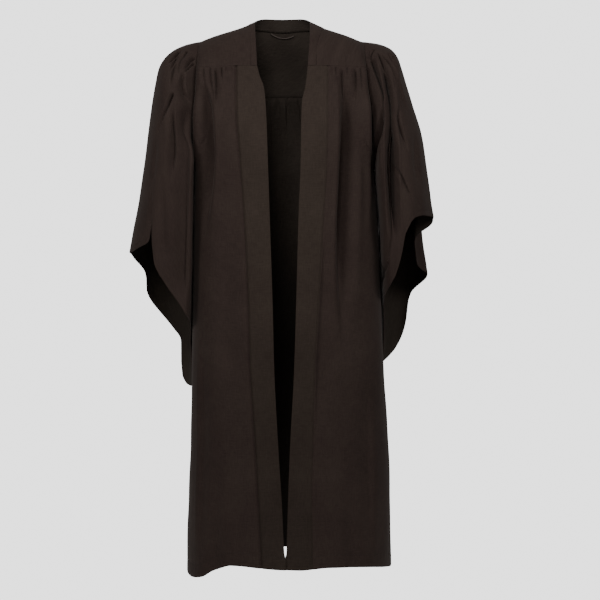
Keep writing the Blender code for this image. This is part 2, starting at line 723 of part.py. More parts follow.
def make_sleeve(side):
    """An open bell sleeve, gathered into the armhole and cut back in a curve at the cuff."""
    word = "left" if side == LEFT else "right"
    rings, cuff, folds = {
        LEFT: (LEFT_SLEEVE, LEFT_CUFF, LEFT_SLEEVE_FOLDS),
        RIGHT: (RIGHT_SLEEVE, RIGHT_CUFF, RIGHT_SLEEVE_FOLDS),
    }[side]
    arounds = np.arange(SLEEVE_COLUMNS) / SLEEVE_COLUMNS
    share = np.linspace(0, 1, SLEEVE_ROWS + 1) ** SLEEVE_ROW_CROWDING
    smoothed = np.zeros((SLEEVE_ROWS + 1, SLEEVE_COLUMNS, 3))
    depth = np.zeros((SLEEVE_ROWS + 1, SLEEVE_COLUMNS))
    for c, around in enumerate(arounds):
        ring = share * cuff_ring(around, side, rings, cuff)
        smoothed[:, c] = sleeve_ring(ring, sleeve_angles(around, ring), side, rings)
        depth[:, c] = sleeve_folds(around, ring, folds)
    smoothed[:, :, 0] += side * SEAM_GAP
    if side == RIGHT:
        away = (arounds - CURL_CENTRE + 0.5) % 1.0 - 0.5
        curl = np.exp(-((away / CURL_WIDTH) ** 4))[None, :]
        curl = curl * ease((share - CURL_START) / (1 - CURL_START))[:, None]
        smoothed[:, :, 0] -= CURL_IN * curl
        smoothed[:, :, 1] -= CURL_FORWARD * curl
    wrapped = np.concatenate([smoothed[:, -1:], smoothed, smoothed[:, :1]], axis=1)
    round_way = np.gradient(wrapped, axis=1)[:, 1:-1]
    down_way = np.gradient(smoothed, axis=0)
    outward = unit(np.cross(down_way, round_way))
    if np.sum(outward[:, 0, 0]) * side < 0:
        outward = -outward
    outward[0] = unit(outward[0] * (0, 1, 1))
    points = smoothed - outward * depth[:, :, None]
    verts, faces = wall(points, outward, closed=True)
    add_piece("sleeve_" + word, verts, faces, cloth_material("sleeve_" + word, CLOTH_COLOUR, 0.62))


def make_hanging_loop():
    """The thin loop under the neck band, hanging against the yoke at the middle of the back."""
    curve = bpy.data.curves.new("hanging_loop", "CURVE")
    curve.dimensions = "3D"
    curve.bevel_depth = LOOP_RADIUS
    curve.bevel_resolution = 2
    curve.use_fill_caps = True
    spline = curve.splines.new("POLY")
    spline.points.add(LOOP_POINTS - 1)
    points, outward = yoke_surface()
    inside = points - (WALL + LOOP_RADIUS + LOOP_CLEARANCE) * outward
    middle = slice(ARMHOLE_STEPS + 1, len(points) - ARMHOLE_STEPS - 1)
    length = np.linalg.norm(points[len(points) // 2, 1] - points[len(points) // 2, 0])
    for i, point in enumerate(spline.points):
        t = 2 * i / (LOOP_POINTS - 1) - 1
        down = (LOOP_DROP + LOOP_SAG * (1 - t**2)) / length
        line = inside[middle, 0] * (1 - down) + inside[middle, 1] * down
        x = t * LOOP_HALF_SPAN
        point.co = (x, np.interp(x, line[:, 0], line[:, 1]), np.interp(x, line[:, 0], line[:, 2]), 1)
    curve.materials.append(cloth_material("hanging_loop", LOOP_COLOUR, 0.7))
    piece = bpy.data.objects.new("hanging_loop", curve)
    bpy.data.collections[COLLECTION].objects.link(piece)


def main():
    """Builds the gown's pieces in their own collection."""
    for item in list(bpy.data.objects):
        bpy.data.objects.remove(item, do_unlink=True)
    collection = bpy.data.collections.new(COLLECTION)
    bpy.context.scene.collection.children.link(collection)
    for side in (LEFT, RIGHT):
        make_front(side)
        make_front_band(side)
        make_sleeve(side)
    make_back()
    make_yoke()
    make_neck_band()
    make_hanging_loop()


main()
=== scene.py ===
# %% [markdown]
# # A black court gown, dressed for the camera
#
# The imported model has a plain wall, 2 mm thick, for every piece that a tailor would cut. This
# notebook puts real cloth in place of each one: the same form from the same measurements, on a much
# finer grid, with gathers, creases, turned hems, stitches and a black woven finish.

import math

import bpy
import numpy as np
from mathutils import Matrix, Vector


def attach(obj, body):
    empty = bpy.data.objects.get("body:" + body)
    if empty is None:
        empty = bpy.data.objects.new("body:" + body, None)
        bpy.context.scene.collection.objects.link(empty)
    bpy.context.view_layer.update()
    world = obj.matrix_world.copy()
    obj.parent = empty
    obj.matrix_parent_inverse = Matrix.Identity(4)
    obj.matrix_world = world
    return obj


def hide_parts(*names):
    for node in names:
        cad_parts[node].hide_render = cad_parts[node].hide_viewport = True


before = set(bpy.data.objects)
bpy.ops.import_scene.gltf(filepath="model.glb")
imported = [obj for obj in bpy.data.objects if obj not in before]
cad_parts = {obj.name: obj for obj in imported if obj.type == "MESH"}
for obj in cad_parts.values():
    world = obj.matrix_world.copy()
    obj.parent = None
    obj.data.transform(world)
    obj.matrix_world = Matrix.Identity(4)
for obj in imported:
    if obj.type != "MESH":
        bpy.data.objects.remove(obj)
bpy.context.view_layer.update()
print("plain pieces:", sorted(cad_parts))

# %% [markdown]
# ## Camera
#
# The gown was photographed straight on, from a few metres away, with the camera level with its
# middle. A long lens keeps the sides nearly parallel. The lens is worked out from how many of the
# picture's 600 pixels one metre covers at the gown.

# %% Camera
IMAGE_PIXELS = 600
METRES_PER_PIXEL = 0.002158
CAMERA_PLACE = (0.039, -3.7, -0.600)
SENSOR_MM = 36.0

lens_pixels = -CAMERA_PLACE[1] / METRES_PER_PIXEL
camera_data = bpy.data.cameras.new("camera")
camera_data.sensor_width = SENSOR_MM
camera_data.lens = SENSOR_MM * lens_pixels / IMAGE_PIXELS
camera = bpy.data.objects.new("camera", camera_data)
camera.location = CAMERA_PLACE
camera.rotation_euler = (math.radians(90), 0, 0)
bpy.context.scene.collection.objects.link(camera)
bpy.context.scene.camera = camera
print("lens:", round(camera_data.lens, 1), "mm")

# %% [markdown]
# ## Floor and light
#
# Black cloth shows its folds only by the little light that it returns. Light from all round would
# fill the folds and turn the black to grey, so most of it comes from three lamps in front. Two
# large ones, one on each side, light the flat cloth evenly and leave the folds black, because these
# are deeper than they are wide. The third one, above the camera, softens the rest, and a lamp behind
# shows the back. In a studio the white paper behind the gown has lamps of its own. Here the sky does
# that: it is bright where the camera sees it, and dim where it lights the cloth. The floor is a pale
# disc below the hem.

# %% Pale floor
FLOOR_Z = -1.46
FLOOR_RADIUS = 1.15
FLOOR_SIDES = 96
PALE = (0.86, 0.86, 0.85, 1.0)


def add_mesh(name, verts, faces):
    """A mesh object at the origin, linked to the scene."""
    mesh = bpy.data.meshes.new(name)
    mesh.from_pydata([tuple(map(float, v)) for v in verts], [], faces)
    piece = bpy.data.objects.new(name, mesh)
    bpy.context.scene.collection.objects.link(piece)
    return piece


turn = np.linspace(0, 2 * math.pi, FLOOR_SIDES + 1)[:-1]
rim = np.stack([np.cos(turn), np.sin(turn), np.zeros(FLOOR_SIDES)], axis=1) * FLOOR_RADIUS
floor = add_mesh("floor", rim + (0, 0, FLOOR_Z), [list(range(FLOOR_SIDES))])
floor_material = bpy.data.materials.new("pale floor")
floor_material.use_nodes = True
floor_shader = floor_material.node_tree.nodes["Principled BSDF"]
floor_shader.inputs["Base Color"].default_value = PALE
floor_shader.inputs["Roughness"].default_value = 0.8
floor.data.materials.append(floor_material)
print("floor:", 2 * FLOOR_RADIUS, "m across")

# %% White studio
SKY_SEEN = 2.4
SKY_ON_CLOTH = 0.24
WHITE = (1.0, 1.0, 1.0, 1.0)

world = bpy.data.worlds.new("white studio")
world.use_nodes = True
sky = world.node_tree
on_cloth = sky.nodes["Background"]
seen = sky.nodes.new("ShaderNodeBackground")
for background, strength in ((on_cloth, SKY_ON_CLOTH), (seen, SKY_SEEN)):
    background.inputs["Color"].default_value = WHITE
    background.inputs["Strength"].default_value = strength
ray = sky.nodes.new("ShaderNodeLightPath")
either = sky.nodes.new("ShaderNodeMixShader")
sky.links.new(ray.outputs["Is Camera Ray"], either.inputs["Fac"])
sky.links.new(on_cloth.outputs["Background"], either.inputs[1])
sky.links.new(seen.outputs["Background"], either.inputs[2])
sky.links.new(either.outputs["Shader"], sky.nodes["World Output"].inputs["Surface"])
bpy.context.scene.world = world
print("sky:", SKY_SEEN, "as seen,", SKY_ON_CLOTH, "on the cloth")

# %% Lamps
LAMPS = [
    # name, place, where it points, size, watts
    ("left lamp", (-1.6, -1.6, 0.60), (0.0, 0.0, 0.05), 1.0, 30.0),
    ("right lamp", (1.6, -1.6, 0.60), (0.0, 0.0, 0.05), 1.0, 31.0),
    ("front lamp", (-0.25, -2.0, 0.75), (0.0, 0.0, 0.00), 0.7, 31.0),
    ("back lamp", (0.0, 2.8, 0.9), (0.0, 0.0, -0.4), 0.5, 125.0),
]
for name, place, target, size, watts in LAMPS:
    lamp_data = bpy.data.lights.new(name, "AREA")
    lamp_data.shape = "DISK"
    lamp_data.size = size
    lamp_data.energy = watts
    lamp = bpy.data.objects.new(name, lamp_data)
    lamp.location = place
    aim = Vector(target) - Vector(place)
    lamp.rotation_euler = aim.to_track_quat("-Z", "Y").to_euler()
    bpy.context.scene.collection.objects.link(lamp)
print("lamps:", [row[0] for row in LAMPS])

# %% [markdown]
# ## The gown's measurements
#
# These are the tailor's numbers behind the plain model: heights of the seams, the outline of the
# body at each height, and the lines of the open front. A few are a little finer here than there.
# Metres, with the origin at the middle of the neck. Left and right are as seen from the front.

# %% Measurements of the body
LEFT, RIGHT = -1.0, 1.0
FRONT, BACK = -1.0, 1.0
WORDS = {LEFT: "left", RIGHT: "right"}
SEAM_GAP = 0.0003
SHOULDER_Z = -0.0432
FRONT_SEAM_Z = -0.107
BACK_SEAM_Z = -0.150
UNDERARM_Z = -0.320
HEM_Z = -1.156
ARMHOLE_DEPTH = {FRONT: 0.075, BACK: 0.080}
SQUARENESS = {FRONT: 2.8, BACK: 2.5}
ARMHOLE_TOP_X = {LEFT: 0.178, RIGHT: 0.175}


def table(names, *rows):
    """A short table as one array for each named column."""
    return dict(zip(names.split(), np.array(rows, float).T))


SIDES = table(
    "z left right",
    (UNDERARM_Z, 0.190, 0.197),
    (-0.480, 0.191, 0.209),
    (-0.760, 0.194, 0.220),
    (-0.900, 0.196, 0.2285),
    (-1.000, 0.2005, 0.233),
    (HEM_Z, 0.2027, 0.2335),
)
DEPTHS = table(
    "z front back",
    (SHOULDER_Z, 0.082, 0.070),
    (FRONT_SEAM_Z, 0.100, 0.092),
    (BACK_SEAM_Z, 0.112, 0.107),
    (-0.250, 0.127, 0.128),
    (-0.400, 0.134, 0.136),
    (-0.600, 0.141, 0.145),
    (-0.850, 0.157, 0.159),
    (HEM_Z, 0.175, 0.175),
)
OPENING = table(
    "z left_seam left_edge right_edge right_seam",
    (-0.107, -0.0954, -0.0513, 0.0554, 0.0978),
    (-0.128, -0.0950, -0.0459, 0.0533, 0.0977),
    (-0.156, -0.0946, -0.0363, 0.0495, 0.0976),
    (-0.184, -0.0943, -0.0333, 0.0432, 0.0975),
    (-0.222, -0.0928, -0.0311, 0.0417, 0.0974),
    (-0.319, -0.0859, -0.0276, 0.0402, 0.0958),
    (-0.421, -0.0783, -0.0242, 0.0361, 0.0893),
    (-0.598, -0.0694, -0.0181, 0.0313, 0.0791),
    (-0.745, -0.0645, -0.0142, 0.0268, 0.0704),
    (-0.905, -0.0538, -0.0058, 0.0184, 0.0662),
    (-1.026, -0.0465, 0.0019, 0.0139, 0.0637),
    (-1.122, -0.0415, 0.0070, 0.0108, 0.0655),
    (-1.136, -0.0407, 0.0098, 0.0082, 0.0656),
    (HEM_Z, -0.0400, 0.0098, 0.0080, 0.0657),
)
HEM_LINE = table(
    "x drop",
    (-0.202, -0.022),
    (-0.190, -0.026),
    (-0.167, -0.021),
    (-0.145, -0.006),
    (-0.125, 0.002),
    (-0.105, 0.0075),
    (-0.070, 0.006),
    (-0.040, 0.003),
    (0.000, 0.000),
    (0.040, -0.001),
    (0.065, 0.001),
    (0.100, 0.0035),
    (0.140, 0.003),
    (0.180, 0.001),
    (0.220, -0.006),
    (0.233, -0.011),
)
BACK_HEM_LINE = table(
    "x drop",
    (-0.2027, -0.022),
    (-0.170, -0.015),
    (-0.110, -0.003),
    (-0.040, 0.000),
    (0.060, 0.000),
    (0.150, -0.003),
    (0.2335, -0.011),
)
print("body from", SHOULDER_Z, "down to", HEM_Z, "m")

# %% [markdown]
# ## Curves through measurements
#
# A straight line between two measurements would leave a kink in the cloth. A cubic curve through
# them is smooth, and this kind never swings past a measurement, so a side seam stays as straight as
# the numbers say.

# %% Interpolation helpers


def smooth(at, knots, values):
    """Cubic interpolation through the rows of a table, with no overshoot between them."""
    order = np.argsort(knots)
    x, y = np.asarray(knots, float)[order], np.asarray(values, float)[order]
    step = np.diff(x)
    rise = np.diff(y) / step
    slope = np.zeros_like(y)
    turning = rise[:-1] * rise[1:] > 0
    total = np.where(turning, rise[:-1] + rise[1:], 1.0)
    slope[1:-1] = np.where(turning, 2 * rise[:-1] * rise[1:] / total, 0.0)
    slope[0], slope[-1] = rise[0], rise[-1]
    at = np.clip(at, x[0], x[-1])
    i = np.clip(np.searchsorted(x, at) - 1, 0, len(x) - 2)
    t = (at - x[i]) / step[i]
    value = y[i] * (1 + 2 * t) * (1 - t) ** 2 + y[i + 1] * t * t * (3 - 2 * t)
    return value + step[i] * (slope[i] * t * (1 - t) ** 2 - slope[i + 1] * t * t * (1 - t))


def ease(t):
    """0 to 1 with a level start and end."""
    t = np.clip(t, 0.0, 1.0)
    return t * t * (3 - 2 * t)


def unit(vectors):
    """The same directions with a length of 1."""
    return vectors / np.maximum(np.linalg.norm(vectors, axis=-1, keepdims=True), 1e-12)


print("half way down the left side:", round(float(smooth(-0.6, SIDES["z"], SIDES["left"])), 4), "m")

# %% [markdown]
# ## The body as a surface
#
# Worn over a jacket, the gown hangs from the shoulders as a tube with a squared, oval plan. One
# formula gives the surface at any height, and every panel is a stretch of it. The armhole is where
# the plan is pinched to a half circle at the side. Away from its edge the armhole's pull is
# averaged over some height, or the cloth would show a level line where the armhole ends.

# %% Armholes
ARMHOLE_MIDDLE = (SHOULDER_Z + UNDERARM_Z) / 2
ARMHOLE_HALF = (SHOULDER_Z - UNDERARM_Z) / 2


def side_x(z, side):
    """Where the side of the body is at a height, with its sign."""
    column = SIDES[WORDS[side]]
    lean = np.clip((z - UNDERARM_Z) / (SHOULDER_Z - UNDERARM_Z), 0, 1)
    return side * (smooth(z, SIDES["z"], column) + (ARMHOLE_TOP_X[side] - column[0]) * lean)


def armhole_y(z, face):
    """Depth of the armhole's edge at a height, and 0 below the underarm."""
    up = np.clip((z - ARMHOLE_MIDDLE) / ARMHOLE_HALF, -1.0, 1.0)
    return face * ARMHOLE_DEPTH[face] * np.sqrt(1 - up * up)


def armhole_point(angle, side):
    """A point on the armhole's edge; the angle is 0 at the top and 90 at the front."""
    z = ARMHOLE_MIDDLE + ARMHOLE_HALF * np.cos(np.radians(angle))
    forward = np.sin(np.radians(angle))
    depth = np.where(forward >= 0, ARMHOLE_DEPTH[FRONT], ARMHOLE_DEPTH[BACK])
    return np.stack([side_x(z, side), -depth * forward, z], axis=-1)


print("armholes:", round(2 * ARMHOLE_HALF, 3), "m high")

# %% Body surface
UNDERARM_BLUR = 0.055
BLUR_REACH = 0.12
BLUR_STEPS = 9
ROW_SAMPLES = 500
HEM_POWER = 3


def body_y(x, z, face):
    """Depth of the body's surface at each x of one height, on its front or its back."""
    depth = smooth(z, DEPTHS["z"], DEPTHS["front" if face == FRONT else "back"])
    reach = np.where(np.asarray(x) < 0, side_x(z, LEFT), side_x(z, RIGHT))
    share = np.minimum(np.abs(x / reach), 1.0)
    up_and_down = np.linspace(-1, 1, BLUR_STEPS)[:, None]
    blur = UNDERARM_BLUR * ease((1 - share) / BLUR_REACH) * up_and_down
    edge = np.abs(armhole_y(z + blur, face)).mean(axis=0)
    power = SQUARENESS[face]
    return face * (edge + (depth - edge) * (1 - share**power) ** (1 / power))


def body_row(z, face, start, end, along):
    """Points of the body at height z, at shares of the way round from x = start to x = end."""
    sides = side_x(z, LEFT), side_x(z, RIGHT)
    reach = np.array([sides[0] if v < 0 else sides[1] for v in (start, end)])
    swing = np.arcsin(np.clip(np.array([start, end]) / np.abs(reach), -1, 1))
    turns = np.linspace(swing[0], swing[1], ROW_SAMPLES)
    xs = np.sin(turns) * np.where(turns < 0, abs(sides[0]), abs(sides[1]))
    line = np.stack([xs, body_y(xs, z, face), np.full_like(xs, z)], axis=-1)
    gone = np.concatenate([[0.0], np.cumsum(np.linalg.norm(np.diff(line, axis=0), axis=1))])
    return np.stack([np.interp(along * gone[-1], gone, line[:, k]) for k in range(3)], axis=-1)


def opening(column, z):
    """One of the four lines of the front opening at a height."""
    return smooth(z, OPENING["z"], OPENING[column])


def hang(points, heights, line=HEM_LINE):
    """Lets the lowest rows follow the uneven line of the hem."""
    share = (heights[0] - heights) / (heights[0] - heights[-1])
    drop = smooth(points[:, :, 0], line["x"], line["drop"])
    points[:, :, 2] += drop * (share**HEM_POWER)[:, None]
    return points


CHEST_Z = -0.3
chest = body_row(CHEST_Z, FRONT, 0.0, float(side_x(CHEST_Z, RIGHT)), np.linspace(0, 1, 200))
quarter_girth = np.linalg.norm(np.diff(chest, axis=0), axis=1).sum()
print("quarter of the chest:", round(quarter_girth, 3), "m")

# %% [markdown]
# ## Turning a grid of points into cloth
#
# Every panel is worked out as a grid of points, like the warp and weft of the cloth. The grid is
# closer at the edges, where a seam or a hem rolls over within a few millimetres. The cloth is given
# a real thickness by hand: a second layer inside the first, and a rim between the two. This keeps
# the layers apart in deep folds, and lets a hem be thicker than the rest. A UV map in metres goes
# with the grid, so that a weave painted on it keeps its true scale all over. Past a seam, the cloth
# goes on for a few millimetres under its neighbour, as a tailor's seam allowance does, so no light
# comes through.

# %% Cloth from a grid
CLOTH = 0.0009
DOUBLE_CLOTH = 0.0016
HEM_TURN = 0.027
CUFF_TURN = 0.012
ALLOWANCE = (0.0070, 0.0040, 0.0012)
UNDER_ONE = 0.0014
UNDER_TWO = 0.0021
EDGE_TICKS = np.array([0.0, 0.0005, 0.0011, 0.0019, 0.0030, 0.0045])
PAST_ROLL = 7


def ticks(length, spacing):
    """Places from 0 to 1 along a length, closer together near its ends, where cloth rolls over."""
    far = length - EDGE_TICKS[::-1]
    count = max(int(round((far[0] - EDGE_TICKS[-1]) / spacing)), 2)
    middle = np.linspace(EDGE_TICKS[-1], far[0], count + 1)[1:-1]
    return np.concatenate([EDGE_TICKS, middle, far]) / length


def grid_ways(points):
    """Distances gone across and down a grid, for its UV map and its edges."""
    across = np.linalg.norm(np.diff(points, axis=1), axis=2)
    down = np.linalg.norm(np.diff(points, axis=0), axis=2)
    u = np.concatenate([np.zeros((len(points), 1)), np.cumsum(across, axis=1)], axis=1)
    v = np.concatenate([np.zeros((1, points.shape[1])), np.cumsum(down, axis=0)], axis=0)
    return u, v


def grid_normals(points, towards, closed=False):
    """Directions out of a grid of points, on the side that faces "towards" at its middle."""
    if closed:
        wrapped = np.concatenate([points[:, -1:], points, points[:, :1]], axis=1)
        across = (wrapped[:, 2:] - wrapped[:, :-2])
    else:
        across = np.gradient(points, axis=1)
    normals = unit(np.cross(np.gradient(points, axis=0), across))
    inner = normals[len(points) // 2, points.shape[1] // 2]
    return normals if np.dot(inner, towards) > 0 else -normals


def quads(grid):
    """The four numbers round each square of a grid of numbers."""
    return np.stack([grid[:-1, :-1], grid[:-1, 1:], grid[1:, 1:], grid[1:, :-1]], -1).reshape(-1, 4)


def weave(name, points, normals, thickness, closed=False):
    """A cloth mesh: the points, the points moved in by the thickness, the rim and a UV map."""
    total = points.shape[0] * points.shape[1]
    flat = points.reshape(-1, 3)
    inside = points - normals * np.asarray(thickness)[..., None]
    index = np.arange(total).reshape(points.shape[:2])
    u, v = grid_ways(points)
    if closed:
        index = np.concatenate([index, index[:, :1]], axis=1)
        u = grid_ways(np.concatenate([points, points[:, :1]], axis=1))[0]
        v = np.concatenate([v, v[:, :1]], axis=1)
    spot = np.arange(u.size).reshape(u.shape)
    outer, outer_spots = quads(index), quads(spot)
    test = outer[len(outer) // 2]
    facing = np.cross(flat[test[1]] - flat[test[0]], flat[test[3]] - flat[test[0]])
    flipped = bool(np.dot(facing, normals.reshape(-1, 3)[test[0]]) < 0)
    if flipped:
        outer, outer_spots = outer[:, ::-1], outer_spots[:, ::-1]
    inner, inner_spots = outer[:, ::-1] + total, outer_spots[:, ::-1]
    edges = [(index[0], spot[0], False), (index[-1], spot[-1], True)]
    if not closed:
        edges += [(index[:, 0], spot[:, 0], True), (index[:, -1], spot[:, -1], False)]
    rims, rim_spots = [], []
    for line, places, backward in edges:
        if backward != flipped:
            line, places = line[::-1], places[::-1]
        near, far = line[:-1], line[1:]
        rims.append(np.stack([far, near, near + total, far + total], axis=-1))
        rim_spots.append(np.stack([places[1:], places[:-1], places[:-1], places[1:]], axis=-1))
    faces = np.concatenate([outer, inner] + rims)
    spots = np.concatenate([outer_spots, inner_spots] + rim_spots)
    verts = np.concatenate([flat, inside.reshape(-1, 3)])
    piece = add_mesh(name, verts, faces.tolist())
    uv = np.stack([u.reshape(-1), v.reshape(-1)], axis=-1)[spots.reshape(-1)]
    layer = piece.data.uv_layers.new(name="cloth")
    layer.data.foreach_set("uv", uv.reshape(-1).astype(np.float32))
    kinds = np.zeros(len(faces), np.int32)
    kinds[len(outer) : 2 * len(outer)] = 1
    piece.data.polygons.foreach_set("material_index", kinds)
    piece.data.shade_smooth()
    piece.data.set_sharp_from_angle(angle=math.radians(60))
    area = surface_area(points, closed)
    print(f"{name}: {2 * len(faces)} triangles, {area:.3f} square metres of cloth")
    return piece


def surface_area(points, closed=False):
    """Area of a grid of points."""
    grid = np.concatenate([points, points[:, :1]], axis=1) if closed else points
    one = np.cross(grid[:-1, 1:] - grid[:-1, :-1], grid[1:, :-1] - grid[:-1, :-1])
    two = np.cross(grid[1:, 1:] - grid[1:, :-1], grid[1:, 1:] - grid[:-1, 1:])
    return float((np.linalg.norm(one, axis=2) + np.linalg.norm(two, axis=2)).sum() / 2)


def edge_roll(points, top=0.0, bottom=0.0, start=0.0, end=0.0, radius=0.0018, seam=0.0018):
    """How far the cloth rolls in near each edge of a grid, where it is sewn or turned."""
    u, v = grid_ways(points)
    depth = top * np.exp(-((v / radius) ** 2))
    depth += bottom * np.exp(-(((v[-1] - v) / radius) ** 2))
    depth += start * np.exp(-((u / seam) ** 2))
    depth += end * np.exp(-(((u[:, -1:] - u) / seam) ** 2))
    return depth


def tuck_under(points, normals, edge, drop, away=None):
    """Adds cloth past an edge, stepped down so that it lies under the next piece."""
    turned = {"start": points, "end": points[:, ::-1], "top": points.swapaxes(0, 1)}[edge]
    out = {"start": normals, "end": normals[:, ::-1], "top": normals.swapaxes(0, 1)}[edge]
    if away is None:
        away = unit(turned[:, 0] - turned[:, PAST_ROLL + 1])
    under = turned[:, 0] - out[:, PAST_ROLL] * drop
    extra = [under + np.asarray(away) * reach for reach in ALLOWANCE]
    wider = np.concatenate([np.stack(extra, axis=1), turned], axis=1)
    if edge == "end":
        return wider[:, ::-1]
    return wider.swapaxes(0, 1) if edge == "top" else wider


print("cloth", CLOTH * 1000, "mm, doubled", DOUBLE_CLOTH * 1000, "mm")

# %% [markdown]
# ## Creases, placed one by one
#
# What makes cloth look worn is not noise but a few definite creases. Each one here is a row of a
# table: its half width, its depth, its steep side, the shares of its length over which it grows and
# fades, and the points that it runs through, across and up, in millimetres as seen from the front.
# The points are dropped on the cloth, a curve is run through them, and the cloth near the curve is
# pushed in. A narrow crease has a sharp bottom, a broad one a round bottom. Gathered cloth leans
# over, so one side of a crease is steep and hides the bottom, and the other one rises slowly: the
# steep side is -1 for the left one, 1 for the right one and 0 for neither.

# %% Crease helpers
CREASE_STEP = 0.002
KNOT_STEPS = 24
NEAREST = 6
CREASE_REACH = 5.0
TURNED_AWAY = 0.35
TURNING = 0.45
STEEP_SHARE = 0.45
SHARP_FALL = 1.25
SHARP_BOTTOM = 0.25
SHARP_WIDTH = 0.005
ROUND_WIDTH = 0.012
LIP = 0.10
LIP_PLACE = 2.2
LIP_WIDTH = 0.7
LEAN = 0.25


def curve_through(knots, step):
    """Evenly spaced points on a smooth curve through a few knots."""
    knots = np.asarray(knots, float)
    ends = [2 * knots[0] - knots[1], *knots, 2 * knots[-1] - knots[-2]]
    line = []
    for p0, p1, p2, p3 in zip(ends, ends[1:], ends[2:], ends[3:]):
        t = np.linspace(0, 1, KNOT_STEPS)[:-1, None]
        cubic = 2 * p1 + (p2 - p0) * t + (2 * p0 - 5 * p1 + 4 * p2 - p3) * t**2
        line.append((cubic + (3 * p1 - p0 - 3 * p2 + p3) * t**3) / 2)
    line = np.concatenate(line + [knots[-1:]])
    gone = np.concatenate([[0.0], np.cumsum(np.linalg.norm(np.diff(line, axis=0), axis=1))])
    at = np.linspace(0, gone[-1], max(int(gone[-1] / step), 2) + 1)
    return np.stack([np.interp(at, gone, line[:, k]) for k in range(3)], axis=-1)


def drop_on(points, normals, path, face):
    """Places on the cloth's near side that lie behind a path drawn across and up."""
    seen = normals[:, 1] * face > 0.0
    near_side = points[seen]
    places = []
    for x, z in np.asarray(path, float) / 1000:
        away = np.hypot(near_side[:, 0] - x, near_side[:, 2] - z)
        best = np.argsort(away)[:NEAREST]
        weight = 1 / (away[best] + 0.0005)
        places.append((near_side[best] * weight[:, None]).sum(axis=0) / weight.sum())
    return np.array(places)


def trough(away, width):
    """A crease across its line: sharp if narrow, round if broad, with a low lip on each side."""
    sharp = np.exp(-SHARP_FALL * (np.hypot(away, SHARP_BOTTOM) - SHARP_BOTTOM))
    round_share = ease((width - SHARP_WIDTH) / (ROUND_WIDTH - SHARP_WIDTH))
    shape = sharp + (np.exp(-(away**2)) - sharp) * round_share
    return shape - LIP * np.exp(-(((away - LIP_PLACE) / LIP_WIDTH) ** 2))


def creases_on(points, normals, creases, face):
    """How far a table of creases pushes each point of a grid in, and how it moves it sideways."""
    flat, out = points.reshape(-1, 3), normals.reshape(-1, 3)
    depth, lean = np.zeros(len(flat)), np.zeros((len(flat), 3))
    for width, deep, steep, grow, fade, path in creases:
        width, deep = width / 1000, deep / 1000
        line = curve_through(drop_on(flat, out, path, face), CREASE_STEP)
        ahead = unit(np.gradient(line, axis=0))
        reach = CREASE_REACH * width
        box = np.all((flat > line.min(axis=0) - reach) & (flat < line.max(axis=0) + reach), axis=1)
        near = np.nonzero(box & (out[:, 1] * face > -TURNED_AWAY))[0]
        if not len(near):
            continue
        gap = flat[near][:, None] - line[None]
        closest = np.argmin((gap**2).sum(axis=2), axis=1)
        gap = gap[np.arange(len(near)), closest]
        way = (gap * ahead[closest]).sum(axis=1)
        gone = (closest * CREASE_STEP + way) / ((len(line) - 1) * CREASE_STEP)
        over = np.where(gone < 0, -gone, np.where(gone > 1, gone - 1, 0.0))
        over = over * (len(line) - 1) * CREASE_STEP
        across = gap - ahead[closest] * way[:, None]
        uneven = 1 - STEEP_SHARE * steep * np.sign(across[:, 0])
        away = np.hypot(np.linalg.norm(across, axis=1), over) / (width * uneven)
        strength = ease(gone / grow) if grow else np.ones(len(near))
        strength = strength * (ease((1 - gone) / fade) if fade else 1.0)
        strength = strength * ease((out[near, 1] * face + TURNED_AWAY) / TURNING)
        pushed = deep * strength * trough(away, width)
        right = unit(np.cross(ahead[closest], out[near]))
        right *= np.where(right[:, :1] < 0, -1.0, 1.0)
        depth[near] += pushed
        lean[near] += right * (LEAN * steep * pushed)[:, None]
    return depth.reshape(points.shape[:2]), lean.reshape(points.shape)


def ripple(points, size):
    """Slow waves of a millimetre or so, which keep a wide panel from looking pressed."""
    x, y, z = points[:, :, 0], points[:, :, 1], points[:, :, 2]
    girth = x + 0.9 * y
    wide = np.sin(44 * girth + 8 * z + 1.9 * np.sin(6.5 * z + 0.6)) * np.sin(5.1 * z + 1.1)
    long = np.sin(83 * girth - 11 * z + 1.2 * np.sin(14 * z)) * np.sin(9.0 * z + 21 * y + 0.4)
    short = np.sin(57 * z + 31 * girth + 2.0 * np.sin(9 * girth)) * np.sin(29 * girth + 2.3)
    return size * (0.55 * wide + 0.30 * long + 0.18 * short)


print("creases are laid every", CREASE_STEP * 1000, "mm")

# %% [markdown]
# ## The fronts
#
# Each front is gathered on to the yoke. The gathers are sharp at the seam and die out within a
# hand's width, and two or three of them run on as soft troughs down to the waist. Below that the
# cloth hangs in shallow flutes.

